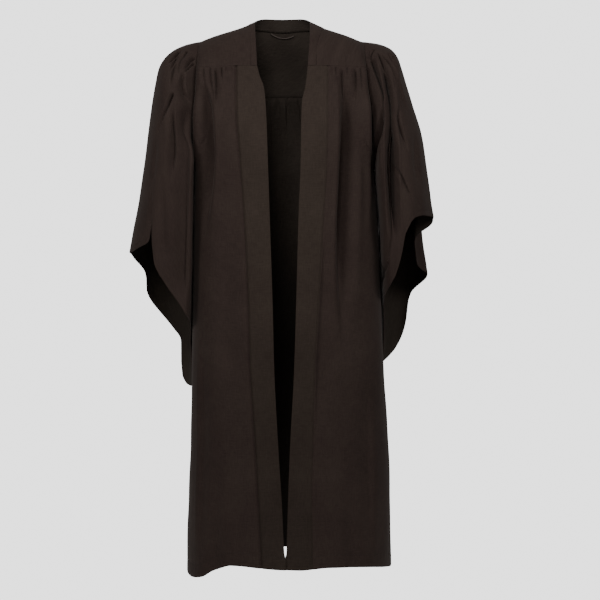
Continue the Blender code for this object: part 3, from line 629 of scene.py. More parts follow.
# %% Crease tables of the fronts
LEFT_FRONT_CREASES = [
    (3.0, 4.5, 1, 0.15, 0.7, [(-166, -109), (-164, -128), (-162, -154)]),
    (3.2, 5.5, 1, 0.1, 0.6, [(-152, -108), (-150, -127), (-146, -155), (-141, -187), (-139, -206)]),
    (3.4, 7.5, -1, 0.15, 0.7, [(-139, -108), (-137, -138), (-136, -170), (-134, -215)]),
    (2.8, 6.0, 1, 0.2, 0.7, [(-127, -108), (-126, -123), (-125, -146)]),
    (2.6, 3.0, -1, 0.2, 0.8, [(-117, -108), (-115, -128)]),
    (2.4, 2.4, 1, 0.2, 0.8, [(-105, -108), (-104, -124)]),
    (13.0, 25.0, 0.6, 0.2, 0.5, [(-168, -135), (-162, -175), (-158, -206), (-155, -254),
                               (-153, -317), (-158, -390), (-162, -485)]),
    (24.0, 5.0, 0, 0.4, 0.4, [(-105, -329), (-109, -517), (-115, -725), (-119, -911)]),
    (16.0, 6.0, -1, 0.4, 0.2, [(-165, -600), (-166, -809), (-167, -1017), (-169, -1150)]),
    (18.0, 4.5, 0, 0.5, 0.0, [(-84, -766), (-86, -931), (-88, -1160)]),
    (20.0, 5.0, 0, 0.5, 0.0, [(-128, -860), (-133, -1000), (-137, -1160)]),
]
RIGHT_FRONT_CREASES = [
    (2.6, 3.0, 1, 0.2, 0.8, [(104, -108), (106, -128)]),
    (2.8, 4.0, -1, 0.2, 0.8, [(115, -108), (116, -138)]),
    (3.8, 8.0, 1, 0.15, 0.7, [(126, -108), (127, -138), (129, -171), (134, -225)]),
    (2.6, 3.5, -1, 0.2, 0.8, [(139, -108), (140, -134)]),
    (3.6, 7.0, 1, 0.15, 0.8, [(155, -108), (157, -137), (156, -170), (154, -215)]),
    (3.8, 5.0, -1, 0.15, 0.7, [(168, -108), (170, -136), (171, -171)]),
    (13.0, 31.0, -0.6, 0.18, 0.5, [(134, -128), (137, -165), (138, -199), (138, -240),
                                   (136, -291), (133, -362), (129, -454), (128, -600),
                                   (132, -725)]),
    (10.0, -9.0, -0.6, 0.2, 0.4, [(176, -140), (178, -200), (179, -260), (181, -367), (184, -473)]),
    (13.0, 7.0, -0.6, 0.3, 0.3, [(93, -420), (87, -520), (84, -600), (79, -700), (76, -800),
                                 (73, -920)]),
    (18.0, 5.0, 1, 0.4, 0.2, [(177, -726), (181, -892), (184, -1150)]),
    (18.0, 4.0, 0, 0.5, 0.0, [(92, -860), (90, -1000), (90, -1160)]),
    (20.0, 5.0, 0, 0.5, 0.0, [(140, -880), (144, -1010), (146, -1160)]),
]
print("creases of the fronts:", len(LEFT_FRONT_CREASES), "and", len(RIGHT_FRONT_CREASES))

# %% Make the fronts
FRONT_WIDTH = 0.20
BODY_SPACING = 0.0017
ROW_SPACING = 0.0050
UNDER_YOKE = {FRONT: (0.0, 0.75, 0.66), BACK: (0.0, -0.25, 0.97)}
ROW_CROWDING = 1.25
CROWDED_SHARE = 0.45
TURNED_UP = 0.0007
PUCKER_LENGTH = 0.013
BAND_SEAM_DEPTH = {LEFT: 0.0034, RIGHT: 0.0016}


def row_heights(top):
    """Heights of the rows of a body panel, closer together at the yoke and at the hem."""
    length = top - HEM_Z
    share = ticks(length, ROW_SPACING)
    crowded = (1 - CROWDED_SHARE) * share + CROWDED_SHARE * share**ROW_CROWDING
    return top - length * crowded


def hem_thickness(points, cloth):
    """The cloth's thickness, doubled below the hem's stitches."""
    _, v = grid_ways(points)
    above = v[-1] - v
    return cloth + TURNED_UP * ease((HEM_TURN - above) / 0.0015)


def hem_groove(points):
    """The shallow line that the hem's stitches pull in, and the slight pucker along it."""
    u, v = grid_ways(points)
    above = v[-1] - v
    pucker = 1 + 0.5 * np.sin(u * 2 * math.pi / PUCKER_LENGTH + np.sin(u * 60))
    return 0.0006 * np.exp(-(((above - HEM_TURN) / 0.0035) ** 2)) * pucker


def make_front(side):
    """A front, from the band's seam round to the armhole and the side seam."""
    word = WORDS[side]
    top = FRONT_SEAM_Z - SEAM_GAP
    heights = row_heights(top)
    along = ticks(FRONT_WIDTH, BODY_SPACING)
    rows = []
    for z in heights:
        start = opening(word + "_seam", z) + side * SEAM_GAP
        row = body_row(z, FRONT, start, side_x(z, side), along)
        row[:, 1] -= SEAM_GAP / 2
        rows.append(row)
    points = hang(np.array(rows), heights)
    normals = grid_normals(points, (0, FRONT, 0))
    creases = LEFT_FRONT_CREASES if side == LEFT else RIGHT_FRONT_CREASES
    depth, lean = creases_on(points, normals, creases, FRONT)
    quiet = ease(along / 0.03) * ease((1 - along) / 0.05)
    calm = ease((heights[0] - heights) / 0.05)
    depth = depth * quiet + ripple(points, 0.0016) * quiet * calm[:, None]
    deep = BAND_SEAM_DEPTH[side]
    depth += edge_roll(points, top=0.0004, bottom=0.0006, start=deep, end=0.0003, seam=0.0030)
    depth += hem_groove(points)
    points = points - normals * depth[:, :, None] + lean * quiet[None, :, None]
    points = tuck_under(points, grid_normals(points, (0, FRONT, 0)), "start", UNDER_TWO)
    normals = grid_normals(points, (0, FRONT, 0))
    points = tuck_under(points, normals, "top", UNDER_ONE, UNDER_YOKE[FRONT])
    normals = grid_normals(points, (0, FRONT, 0))
    piece = weave("cloth_front_" + word, points, normals, hem_thickness(points, CLOTH))
    return piece, points, normals


front_left, front_left_grid, front_left_out = make_front(LEFT)
front_right, front_right_grid, front_right_out = make_front(RIGHT)

# %% [markdown]
# ## The front bands
#
# A plain band of doubled cloth finishes each front edge, from the yoke to the hem. It isn't
# gathered, so it hangs flat and stiff between the soft fronts, and its outer edge is a fold, which
# is why it is rounder and thicker than a seam. At the hem the left band laps a little over the
# right one.

# %% Make the front bands
BAND_WIDTH = 0.046
BAND_SPACING = 0.0024
LAP_DEPTH = 0.0024
LAP_TOP = -1.112


def make_band(side):
    """The plain band along a front edge."""
    word = WORDS[side]
    heights = row_heights(FRONT_SEAM_Z - SEAM_GAP)
    along = ticks(BAND_WIDTH, BAND_SPACING)
    rows = []
    for z in heights:
        edge, seam = opening(word + "_edge", z), opening(word + "_seam", z)
        row = body_row(z, FRONT, edge, seam, along)
        row[:, 1] -= SEAM_GAP / 2
        if side == RIGHT:
            row[:, 1] += LAP_DEPTH * ease((LAP_TOP - z) / 0.02) * ease(1 - along / 0.6)
        rows.append(row)
    points = hang(np.array(rows), heights)
    normals = grid_normals(points, (0, FRONT, 0))
    calm = ease((heights[0] - heights) / 0.05)
    sway = 0.0011 * np.sin(heights * 13 + side) + 0.0007 * np.sin(heights * 29 + 2 * side)
    lift = ease(1 - along / 0.8)
    depth = -(sway * calm)[:, None] * lift[None, :]
    deep = BAND_SEAM_DEPTH[side]
    depth += edge_roll(points, top=0.0004, bottom=0.0006, start=0.0007, end=deep, seam=0.0024)
    depth += hem_groove(points)
    points = points - normals * depth[:, :, None]
    normals = grid_normals(points, (0, FRONT, 0))
    points = tuck_under(points, normals, "top", UNDER_TWO, UNDER_YOKE[FRONT])
    normals = grid_normals(points, (0, FRONT, 0))
    piece = weave("cloth_band_" + word, points, normals, hem_thickness(points, DOUBLE_CLOTH))
    return piece, points, normals


band_left, band_left_grid, band_left_out = make_band(LEFT)
band_right, band_right_grid, band_right_out = make_band(RIGHT)

# %% [markdown]
# ## The back
#
# The back is one wide panel, gathered under the yoke all the way across, so that it swings out in
# flutes at the hem. The photograph hides it. The gathers are spaced by a fixed random draw, because
# no two on a real gown are alike.

# %% Make the back
BACK_WIDTH = 0.56
BACK_SPACING = 0.0031
BACK_FLUTES = 7
BACK_FLUTE_DEPTH = 0.0085
BACK_GATHERS = 30
draw = np.random.default_rng(46)


def back_gathers():
    """A table of uneven gathers across the back, in the form of the listed ones."""
    creases = []
    for number in range(BACK_GATHERS):
        x = -168 + 338 * (number + 0.5 + draw.uniform(-0.3, 0.3)) / BACK_GATHERS
        length = draw.uniform(25, 70) if number % 3 else draw.uniform(90, 210)
        lean = draw.uniform(-7, 7) + x * 0.03 * length / 100
        path = [(x, -151), (x + lean * 0.3, -150 - length * 0.4), (x + lean, -150 - length)]
        deep = draw.uniform(2.2, 4.0) if number % 3 else draw.uniform(4.0, 6.0)
        steep = 1 if number % 2 else -1
        creases.append((draw.uniform(3.0, 4.6), deep, steep, 0.12, 0.75, path))
    for x, low in ((-120, -640), (-64, -470), (-8, -760), (52, -520), (116, -690)):
        path = [(x, -190), (x * 1.04, -340), (x * 1.10, low)]
        creases.append((13.0, 5.0, 0, 0.3, 0.5, path))
    return creases


def back_flutes(along, z):
    """Broad flutes that open towards the hem."""
    gone = (BACK_SEAM_Z - z) / (BACK_SEAM_Z - HEM_Z)
    wave = 2 * math.pi * BACK_FLUTES * (along + 0.014 * np.sin(9 * along))
    flute = 0.5 - 0.5 * np.cos(wave)
    return BACK_FLUTE_DEPTH * ease(gone * 2.2) * flute * ease(along * 12) * ease((1 - along) * 12)


def make_back():
    """The back, from one side seam to the other."""
    heights = row_heights(BACK_SEAM_Z - SEAM_GAP)
    along = ticks(BACK_WIDTH, BACK_SPACING)
    rows = []
    for z in heights:
        row = body_row(z, BACK, float(side_x(z, LEFT)), float(side_x(z, RIGHT)), along)
        row[:, 1] += SEAM_GAP / 2
        rows.append(row)
    points = hang(np.array(rows), heights, BACK_HEM_LINE)
    normals = grid_normals(points, (0, BACK, 0))
    flutes = np.array([back_flutes(along, z) for z in heights])
    quiet = ease(along / 0.03) * ease((1 - along) / 0.03)
    calm = ease((heights[0] - heights) / 0.05)
    gathers, lean = creases_on(points, normals, back_gathers(), BACK)
    depth = flutes + gathers * quiet + ripple(points, 0.0016) * quiet * calm[:, None]
    depth += edge_roll(points, top=0.0004, bottom=0.0006, start=0.0003, end=0.0003)
    depth += hem_groove(points)
    points = points - normals * depth[:, :, None] + lean * quiet[None, :, None]
    for edge in ("start", "end"):
        normals = grid_normals(points, (0, BACK, 0))
        points = tuck_under(points, normals, edge, UNDER_ONE, (0.0, FRONT, 0.0))
    normals = grid_normals(points, (0, BACK, 0))
    points = tuck_under(points, normals, "top", UNDER_ONE, UNDER_YOKE[BACK])
    normals = grid_normals(points, (0, BACK, 0))
    piece = weave("cloth_back", points, normals, hem_thickness(points, CLOTH))
    return piece, points, normals


back, back_grid, back_out = make_back()

# %% [markdown]
# ## The yoke
#
# The yoke is a U of cloth over both shoulders and across the back, and it carries all the rest. It
# runs from the neck band's seam out to the armholes and the back seam. A straight line joins each
# point of the inner seam to one of the outer edge, which gives the shoulder its slope. A few rounds
# of averaging then settle the cloth over the shoulder's ridge, as its own weight would.

# %% Measurements of the neck
NECK = table(
    "way edge_x edge_y edge_z seam_x seam_y seam_z",
    (0.00, -0.0513, -0.0995, -0.107, -0.0640, -0.0985, -0.107),
    (0.12, -0.0545, -0.0800, -0.052, -0.0668, -0.0790, -0.055),
    (0.27, -0.0575, -0.0180, -0.004, -0.0705, -0.0180, -0.008),
    (0.36, -0.0540, 0.0250, 0.007, -0.0720, 0.0310, -0.008),
    (0.44, -0.0330, 0.0520, 0.0145, -0.0430, 0.0660, -0.009),
    (0.50, 0.0010, 0.0600, 0.0148, 0.0010, 0.0770, -0.0115),
    (0.56, 0.0360, 0.0520, 0.0145, 0.0470, 0.0660, -0.009),
    (0.64, 0.0570, 0.0250, 0.007, 0.0830, 0.0310, -0.012),
    (0.73, 0.0605, -0.0180, -0.004, 0.0890, -0.0180, -0.015),
    (0.88, 0.0595, -0.0800, -0.052, 0.0760, -0.0770, -0.057),
    (1.00, 0.0554, -0.0995, -0.107, 0.0725, -0.0975, -0.107),
)
RIDGE_WAY = 0.27
CORNER_WAY = 0.38
YOKE_CROWN = 0.010
RIDGE_STEPS = 34
CORNER_STEPS = 26
ACROSS_STEPS = 84


def neck_point(way, line):
    """A point of the neck's edge or of the neck band's seam; 0 and 1 are at the front."""
    return np.stack([smooth(way, NECK["way"], NECK[f"{line}_{axis}"]) for axis in "xyz"], -1)


def yoke_ways():
    """Places along the neck for the stations of the yoke, from the left front to the right."""
    ridge = np.linspace(0, RIDGE_WAY, RIDGE_STEPS + 1)
    corner = np.linspace(RIDGE_WAY, CORNER_WAY, CORNER_STEPS + 1)[1:]
    arm = np.concatenate([ridge, corner])
    across = np.linspace(CORNER_WAY, 1 - CORNER_WAY, ACROSS_STEPS + 1)[1:-1]
    return np.concatenate([arm, across, 1 - arm[::-1]]), len(arm)


def yoke_rim(count):
    """The yoke's outer edge: one armhole, the back seam, and the other armhole."""
    front_angle = math.degrees(math.acos((FRONT_SEAM_Z - ARMHOLE_MIDDLE) / ARMHOLE_HALF))
    back_angle = -math.degrees(math.acos((BACK_SEAM_Z - ARMHOLE_MIDDLE) / ARMHOLE_HALF))
    down = np.linspace(front_angle, 0, RIDGE_STEPS + 1)
    angles = np.concatenate([down, np.linspace(0, back_angle, count - RIDGE_STEPS)[1:]])
    left, right = armhole_point(angles, LEFT), armhole_point(angles, RIGHT)[::-1]
    share = np.linspace(0, 1, ACROSS_STEPS + 1)
    across = body_row(BACK_SEAM_Z, BACK, left[-1, 0], right[0, 0], share)
    return np.concatenate([left, across[1:-1], right])


def settle(points, rounds, share):
    """Moves each inner point of a grid a share of the way to its neighbours' middle, in rounds."""
    for _ in range(rounds):
        around = points[:-2, 1:-1] + points[2:, 1:-1] + points[1:-1, :-2] + points[1:-1, 2:]
        points[1:-1, 1:-1] += (around / 4 - points[1:-1, 1:-1]) * share
    return points


YOKE_CREASES = [
    (3.5, -1.8, 0, 0.3, 0.4, [(119, -50), (107, -65), (96, -82)]),
    (6.0, 2.2, 0, 0.3, 0.1, [(143, -76), (140, -89), (137, -104)]),
    (4.0, 1.3, 0, 0.5, 0.0, [(-119, -84), (-117, -106)]),
    (4.0, 1.1, 0, 0.5, 0.0, [(-136, -88), (-138, -106)]),
    (4.0, 1.3, 0, 0.5, 0.0, [(127, -86), (127, -106)]),
    (6.0, 1.0, 0, 0.4, 0.4, [(-92, -96), (-74, -92), (-64, -84)]),
    (9.0, 1.8, 0, 0.4, 0.4, [(-160, -62), (-140, -76), (-118, -82)]),
    (9.0, 1.6, 0, 0.4, 0.4, [(160, -58), (150, -74), (146, -92)]),
]
YOKE_WIDTH = 0.115
YOKE_SPACING = 0.0025
SETTLE_ROUNDS = 60
SETTLE_SHARE = 0.8


def make_yoke():
    """The yoke, station by station round the neck."""
    ways, corner = yoke_ways()
    edge, seam = neck_point(ways, "edge"), neck_point(ways, "seam")
    for end in (0, -1):
        seam[end, 1] = body_y(seam[end, 0], FRONT_SEAM_Z, FRONT)[0]
    rim = yoke_rim(corner)
    seam = seam + SEAM_GAP * unit(rim - seam)
    share = ticks(YOKE_WIDTH, YOKE_SPACING)
    ruled = seam[:, None] * (1 - share[None, :, None]) + rim[:, None] * share[None, :, None]
    normal = grid_normals(ruled, (0, 0, 1))
    side = np.minimum(ways, 1 - ways)
    near_front = 1 - ease(side / RIDGE_WAY)
    crown = YOKE_CROWN * np.sin(math.pi * share)[None, :] * (1 - near_front)[:, None]
    crown *= (1 - np.exp(-(((side - RIDGE_WAY) / 0.05) ** 2)))[:, None]
    points = ruled + normal * crown[:, :, None]
    for end in (0, -1):
        flat = body_y(ruled[end, :, 0], FRONT_SEAM_Z, FRONT)
        dip = flat - ruled[end, :, 1]
        way = ways if end == 0 else 1 - ways
        points[:, :, 1] += dip[None, :] * (1 - ease(way / RIDGE_WAY))[:, None]
    points = settle(points, SETTLE_ROUNDS, SETTLE_SHARE)
    normals = grid_normals(points, (0, 0, 1))
    depth, _ = creases_on(points, normals, YOKE_CREASES, FRONT)
    calm = ease(share / 0.12) * ease((1 - share) / 0.12)
    calm = calm[None, :] * ease(side / 0.04)[:, None]
    depth = depth * ease(share / 0.05) * ease((1 - share) / 0.05) + ripple(points, 0.0011) * calm
    depth += edge_roll(points, top=0.0003, bottom=0.0003, start=0.0006, end=0.0003)
    points = points - normals * depth[:, :, None]
    inner = points
    normals = grid_normals(points, (0, 0, 1))
    points = tuck_under(points, normals, "start", UNDER_TWO, unit(edge - seam))
    normals = grid_normals(points, (0, 0, 1))
    return weave("cloth_yoke", points, normals, np.full(points.shape[:2], CLOTH)), inner


yoke, yoke_grid = make_yoke()

# %% [markdown]
# ## The neck band
#
# A narrow stand of doubled cloth finishes the neck, from one front band round to the other. It has
# a seam at the middle of the back, which shows as a short dark line inside the neck.

# %% Make the neck band
STAND_HEIGHT = 0.016
STAND_SPACING = 0.0020


def make_neck_band():
    """The band round the neck, with its seam at the middle of the back."""
    way_ticks = np.concatenate([np.linspace(0, 0.495, 120), [0.4985, 0.5, 0.5015]])
    ways = np.concatenate([way_ticks, np.linspace(0.505, 1, 120)])
    edge, seam = neck_point(ways, "edge"), neck_point(ways, "seam")
    for line in (edge, seam):
        for end in (0, -1):
            line[end, 1] = body_y(line[end, 0], FRONT_SEAM_Z, FRONT)[0]
    share = ticks(STAND_HEIGHT, STAND_SPACING)
    points = edge[:, None] * (1 - share[None, :, None]) + seam[:, None] * share[None, :, None]
    ahead = np.gradient((edge + seam) / 2, axis=0)
    outward = unit(np.cross(ahead, seam - edge))
    normals = np.repeat(outward[:, None], len(share), axis=1)
    groove = 0.0007 * np.exp(-(((ways - 0.5) / 0.002) ** 2))
    bulge = 0.0006 * np.sin(math.pi * share)
    depth = edge_roll(points, start=0.0001, end=0.0003) + groove[:, None] - bulge[None, :]
    points = points - normals * depth[:, :, None]
    thickness = DOUBLE_CLOTH - 2 * groove[:, None] + np.zeros(points.shape[:2])
    return weave("cloth_neck_band", points, normals, thickness)


neck_band = make_neck_band()

# %% [markdown]
# ## The sleeves
#
# A bell sleeve is a wide tube, gathered tightly over the shoulder and cut back in a long curve at
# the cuff. It is worked out ring by ring from the armhole down. The columns of cloth are crowded at
# the sleeve head and spread out below it, as they do when a wide sleeve is drawn up on a thread, and
# each column ends where it meets the curve of the cuff.

# %% Measurements of the sleeves
LEFT_SLEEVE = table(
    "ring out_x out_z in_x in_z front back",
    (0, 0.1780, -0.0432, 0.1900, -0.320, 0.075, 0.080),
    (1, 0.2060, -0.0500, 0.1925, -0.334, 0.096, 0.100),
    (2, 0.2310, -0.0600, 0.1930, -0.350, 0.108, 0.113),
    (3, 0.2520, -0.0800, 0.1932, -0.370, 0.114, 0.120),
    (4, 0.2640, -0.1030, 0.1934, -0.395, 0.117, 0.124),
    (5, 0.2710, -0.1350, 0.1936, -0.425, 0.118, 0.126),
    (6, 0.2790, -0.1800, 0.1938, -0.460, 0.118, 0.127),
    (7, 0.2870, -0.2400, 0.1942, -0.505, 0.117, 0.127),
    (8, 0.2960, -0.3100, 0.1948, -0.560, 0.115, 0.126),
    (9, 0.3075, -0.3850, 0.1955, -0.620, 0.112, 0.124),
    (10, 0.3225, -0.4600, 0.1962, -0.685, 0.108, 0.120),
    (11, 0.3370, -0.5400, 0.1970, -0.750, 0.105, 0.116),
    (12, 0.3420, -0.6600, 0.1975, -0.820, 0.100, 0.112),
    (13, 0.3420, -0.8200, 0.1980, -0.900, 0.095, 0.108),
)
RIGHT_SLEEVE = table(
    "ring out_x out_z in_x in_z front back",
    (0, 0.1750, -0.0432, 0.1970, -0.320, 0.075, 0.080),
    (1, 0.2050, -0.0475, 0.2005, -0.334, 0.096, 0.100),
    (2, 0.2330, -0.0590, 0.2025, -0.350, 0.108, 0.113),
    (3, 0.2490, -0.0790, 0.2045, -0.370, 0.114, 0.120),
    (4, 0.2570, -0.1020, 0.2070, -0.395, 0.117, 0.124),
    (5, 0.2670, -0.1350, 0.2095, -0.425, 0.118, 0.126),
    (6, 0.2820, -0.1800, 0.2110, -0.460, 0.118, 0.127),
    (7, 0.2990, -0.2400, 0.2130, -0.505, 0.117, 0.127),
    (8, 0.3110, -0.3100, 0.2155, -0.560, 0.115, 0.126),
    (9, 0.3200, -0.3850, 0.2180, -0.620, 0.112, 0.124),
    (10, 0.3280, -0.4400, 0.2205, -0.685, 0.108, 0.120),
    (11, 0.3250, -0.5200, 0.2225, -0.750, 0.105, 0.116),
    (12, 0.3250, -0.6400, 0.2250, -0.820, 0.100, 0.112),
    (13, 0.3250, -0.8200, 0.2275, -0.900, 0.095, 0.108),
)
LEFT_CUFF = table(
    "angle z",
    (0, -0.4975),
    (24, -0.4975),
    (45, -0.4892),
    (57, -0.4836),
    (63, -0.4785),
    (65, -0.4735),
    (65.7, -0.4560),
    (66.2, -0.4400),
    (67.2, -0.4530),
    (70, -0.4765),
    (74.5, -0.4993),
    (80, -0.5243),
    (88.5, -0.5430),
    (96, -0.5579),
    (102.5, -0.5759),
    (109.5, -0.5945),
    (117, -0.6116),
    (127, -0.6284),
    (152, -0.648),
    (168, -0.665),
    (182, -0.700),
    (198, -0.770),
    (209.5, -0.7885),
    (225.5, -0.7857),
    (237, -0.7726),
    (241.5, -0.757),
    (243, -0.705),
    (244.5, -0.6865),
    (256, -0.6665),
    (269, -0.6448),
    (282.5, -0.6223),
    (295.5, -0.5998),
    (303.5, -0.5783),
    (306.5, -0.5516),
    (312.5, -0.5333),
    (330, -0.5124),
    (349, -0.4985),
    (360, -0.4975),
)
RIGHT_CUFF = table(
    "angle z",
    (0, -0.425),
    (16.5, -0.4223),
    (48.5, -0.4214),
    (69, -0.4259),
    (80.5, -0.4350),
    (88, -0.4474),
    (94.5, -0.4597),
    (97.5, -0.4711),
    (102, -0.4957),
    (106.5, -0.5165),
    (111, -0.5334),
    (118.5, -0.5538),
    (138, -0.5757),
    (165, -0.600),
    (182, -0.650),
    (193, -0.715),
    (200.5, -0.7343),
    (228, -0.7284),
    (250, -0.7128),
    (263.5, -0.6932),
    (273, -0.6712),
    (279.5, -0.6449),
    (285.5, -0.6000),
    (292.5, -0.5803),
    (312, -0.5627),
    (330, -0.5500),
    (336, -0.541),
    (342, -0.522),
    (348, -0.490),
    (353, -0.458),
    (360, -0.425),
)
SLEEVE_TUCK = 0.018
FRONT_TUCK = {LEFT: 0.024, RIGHT: 0.010}
SLEEVE_FULLNESS = 0.55
TUCK_RING = 3.0
CURL_CENTRE = -0.0375
CURL_WIDTH = 0.0236
CURL_START = 0.74
CURL_IN = 0.028
CURL_FORWARD = 0.014
DENT_IN = 0.016
DENT_BOTTOM, DENT_TOP = -0.55, -0.25
DENT_FROM = 265.0
HEAD_GATHERING = 0.6
FAN_RINGS = 6.0
print("sleeve from", SHOULDER_Z, "to", LEFT_CUFF["z"].min(), "m at its longest")

# %% [markdown]
# ## Creases of the sleeves
#
# The sleeve heads have the richest folds. On the left one the cloth breaks in a few short strokes
# and one sharp diagonal, then falls in a broad valley beside the body. On the right one the gathers
# fan out from the armhole and join in two very deep folds, which run down to the elbow.

# %% Crease tables of the sleeves
LEFT_SLEEVE_CREASES = [
    (3.8, 9.0, -1, 0.15, 0.4, [(-218, -64), (-222, -72), (-233, -87), (-248, -106)]),
    (3.8, 9.0, -1, 0.15, 0.5, [(-222, -77), (-228, -92), (-233, -108), (-236, -123)]),
    (3.8, 8.0, -1, 0.2, 0.6, [(-223, -92), (-228, -108), (-231, -139), (-233, -162)]),
    (3.8, 7.0, 1, 0.2, 0.6, [(-208, -70), (-216, -97), (-218, -118), (-218, -145)]),
    (3.4, 6.0, -1, 0.1, 0.6, [(-200, -68), (-207, -82), (-212, -98)]),
    (3.0, 8.0, 1, 0.1, 0.5, [(-183, -84), (-193, -94), (-200, -105), (-204, -113)]),
    (3.0, 7.0, 1, 0.1, 0.5, [(-183, -97), (-193, -105), (-199, -114), (-206, -121)]),
    (6.0, 9.0, 1, 0.2, 0.4, [(-205, -117), (-208, -131), (-208, -146), (-204, -164), (-196, -177),
                             (-187, -185)]),
    (2.8, 18.0, 1, 0.1, 0.6, [(-226, -165), (-233, -182), (-240, -198), (-251, -225), (-263, -256)]),
    (5.0, 10.0, 1, 0.35, 0.4, [(-226, -178), (-227, -218), (-225, -254), (-225, -291), (-228, -321),
                               (-231, -361)]),
    (14.0, 13.0, 1, 0.15, 0.2, [(-198, -185), (-199, -224), (-199, -283), (-199, -366), (-199, -450),
                                (-201, -519), (-203, -579), (-204, -626)]),
    (4.0, 6.0, 1, 0.6, 0.1, [(-273, -369), (-275, -402), (-276, -430), (-277, -446)]),
    (9.0, 5.0, 0, 0.4, 0.3, [(-248, -327), (-248, -390), (-246, -464), (-242, -540)]),
    (8.0, 3.0, 0, 0.4, 0.4, [(-262, -250), (-268, -310), (-272, -370)]),
]
RIGHT_SLEEVE_CREASES = [
    (3.0, 4.0, 1, 0.1, 0.5, [(186, -66), (183, -83), (181, -102)]),
    (3.0, 8.0, 1, 0.1, 0.5, [(197, -65), (190, -78), (186, -96)]),
    (3.6, 13.0, -1, 0.1, 0.3, [(188, -85), (195, -111), (203, -138), (211, -165), (212, -185),
                               (209, -201)]),
    (7.0, 26.0, -0.5, 0.25, 0.3, [(212, -180), (210, -201), (205, -231), (201, -257), (198, -286),
                                (197, -321), (199, -365), (202, -411), (205, -450)]),
    (5.0, 31.0, -0.4, 0.2, 0.3, [(208, -87), (216, -118), (221, -150), (223, -175), (224, -201),
                                 (224, -264), (225, -327), (227, -390), (229, -450), (231, -500)]),
    (5.0, 34.0, -0.4, 0.15, 0.3, [(228, -140), (231, -190), (232, -225), (233, -264), (234, -327),
                                  (236, -390), (238, -450), (239, -490)]),
    (3.0, 10.0, -1, 0.1, 0.5, [(205, -73), (211, -91), (217, -107), (225, -129)]),
    (3.8, 20.0, -1, 0.1, 0.5, [(214, -76), (228, -98), (235, -112), (242, -133), (250, -157),
                               (259, -186), (268, -211)]),
    (3.0, 9.0, -1, 0.1, 0.5, [(226, -74), (236, -92), (246, -112), (254, -135)]),
    (3.0, 8.0, -1, 0.1, 0.6, [(236, -80), (246, -98), (254, -118)]),
    (5.0, 10.0, 1, 0.3, 0.5, [(246, -192), (248, -224), (254, -254), (261, -275), (268, -294)]),
    (2.6, 6.0, 1, 0.2, 0.5, [(233, -300), (240, -322), (251, -342), (261, -363), (272, -386),
                             (282, -409)]),
    (2.6, 6.0, -1, 0.3, 0.5, [(184, -166), (185, -190), (187, -223), (192, -257)]),
    (6.0, 9.0, 1, 0.3, 0.4, [(232, -431), (227, -463), (223, -499), (220, -532), (214, -570)]),
    (9.0, 8.0, 0, 0.3, 0.3, [(209, -439), (209, -493), (211, -546), (213, -600), (215, -665)]),
    (9.0, 4.0, 0, 0.4, 0.4, [(281, -240), (283, -305), (289, -369)]),
]
BACK_SLEEVE_CREASES = [
    (3.8, 5.5, 1, 0.1, 0.6, [(190, -78), (188, -96), (187, -120)]),
    (3.8, 6.0, -1, 0.1, 0.6, [(200, -74), (198, -100), (199, -140)]),
    (4.2, 7.0, 1, 0.1, 0.5, [(210, -74), (211, -104), (212, -150), (210, -200)]),
    (4.2, 6.0, 1, 0.1, 0.6, [(220, -78), (224, -104), (227, -140)]),
    (4.2, 6.5, 1, 0.1, 0.5, [(230, -84), (236, -110), (240, -150), (243, -205)]),
    (3.8, 5.0, 1, 0.1, 0.6, [(238, -94), (246, -116), (252, -145)]),
    (8.0, 9.0, -1, 0.3, 0.5, [(212, -180), (209, -260), (210, -360), (214, -470), (218, -540)]),
    (7.0, 6.0, 1, 0.3, 0.5, [(238, -190), (242, -270), (248, -360), (250, -420)]),
    (9.0, 4.0, 0, 0.4, 0.5, [(228, -330), (230, -430), (232, -530)]),
]
print("creases of the sleeves:", len(LEFT_SLEEVE_CREASES), "and", len(RIGHT_SLEEVE_CREASES))

# %% Make the sleeves
SLEEVE_COLUMNS = 316
SLEEVE_LENGTH = 0.56
SLEEVE_SPACING = 0.0041
FRONT_CROWDING = 0.55
CUFF_STEPS = 521


def sleeve_ring(ring, angle, side, rings):
    """A point of a sleeve without its folds; ring 0 is the armhole."""
    value = {name: smooth(ring, rings["ring"], rings[name]) for name in rings}
    turn = np.radians(angle)
    across = 0.5 + 0.5 * np.cos(turn)
    x = value["in_x"] + (value["out_x"] - value["in_x"]) * across
    forward = np.sin(turn)
    tuck = SLEEVE_TUCK * np.clip(-forward, 0, 1) * (1 - across)
    tuck += FRONT_TUCK[side] * np.clip(forward, 0, 1) * ease(-np.cos(turn) / 0.6)
    x = x - tuck * ease(ring / TUCK_RING)
    z = value["in_z"] + (value["out_z"] - value["in_z"]) * across
    fuller = SLEEVE_FULLNESS * ease(ring / TUCK_RING) * np.cos(turn) ** 2
    forward = forward * (1 + fuller * (forward > 0) * (np.cos(turn) < 0))
    depth = np.where(forward >= 0, value["front"], value["back"])
    return np.stack([side * x, -depth * forward, z], axis=-1)


def sleeve_angles(around, ring):
    """Angles of the cloth's columns, crowded over the sleeve head and even lower down."""
    head = around - HEAD_GATHERING * np.sin(2 * math.pi * around) / (2 * math.pi)
    spread = ease(ring / FAN_RINGS)
    return 360 * (head * (1 - spread) + around * spread)


def cuff_ring(around, side, rings, cuff):
    """The ring where a column of the sleeve's cloth reaches the cuff edge."""
    trial = np.linspace(0, rings["ring"][-1], CUFF_STEPS)
    angles = sleeve_angles(around, trial)
    heights = sleeve_ring(trial, angles, side, rings)[:, 2]
    left = heights - smooth(angles % 360, cuff["angle"], cuff["z"])
    below = np.nonzero(left < 0)[0]
    i = below[0] if len(below) else len(trial) - 1
    part = left[i - 1] / (left[i - 1] - left[i])
    return trial[i - 1] + part * (trial[i] - trial[i - 1])


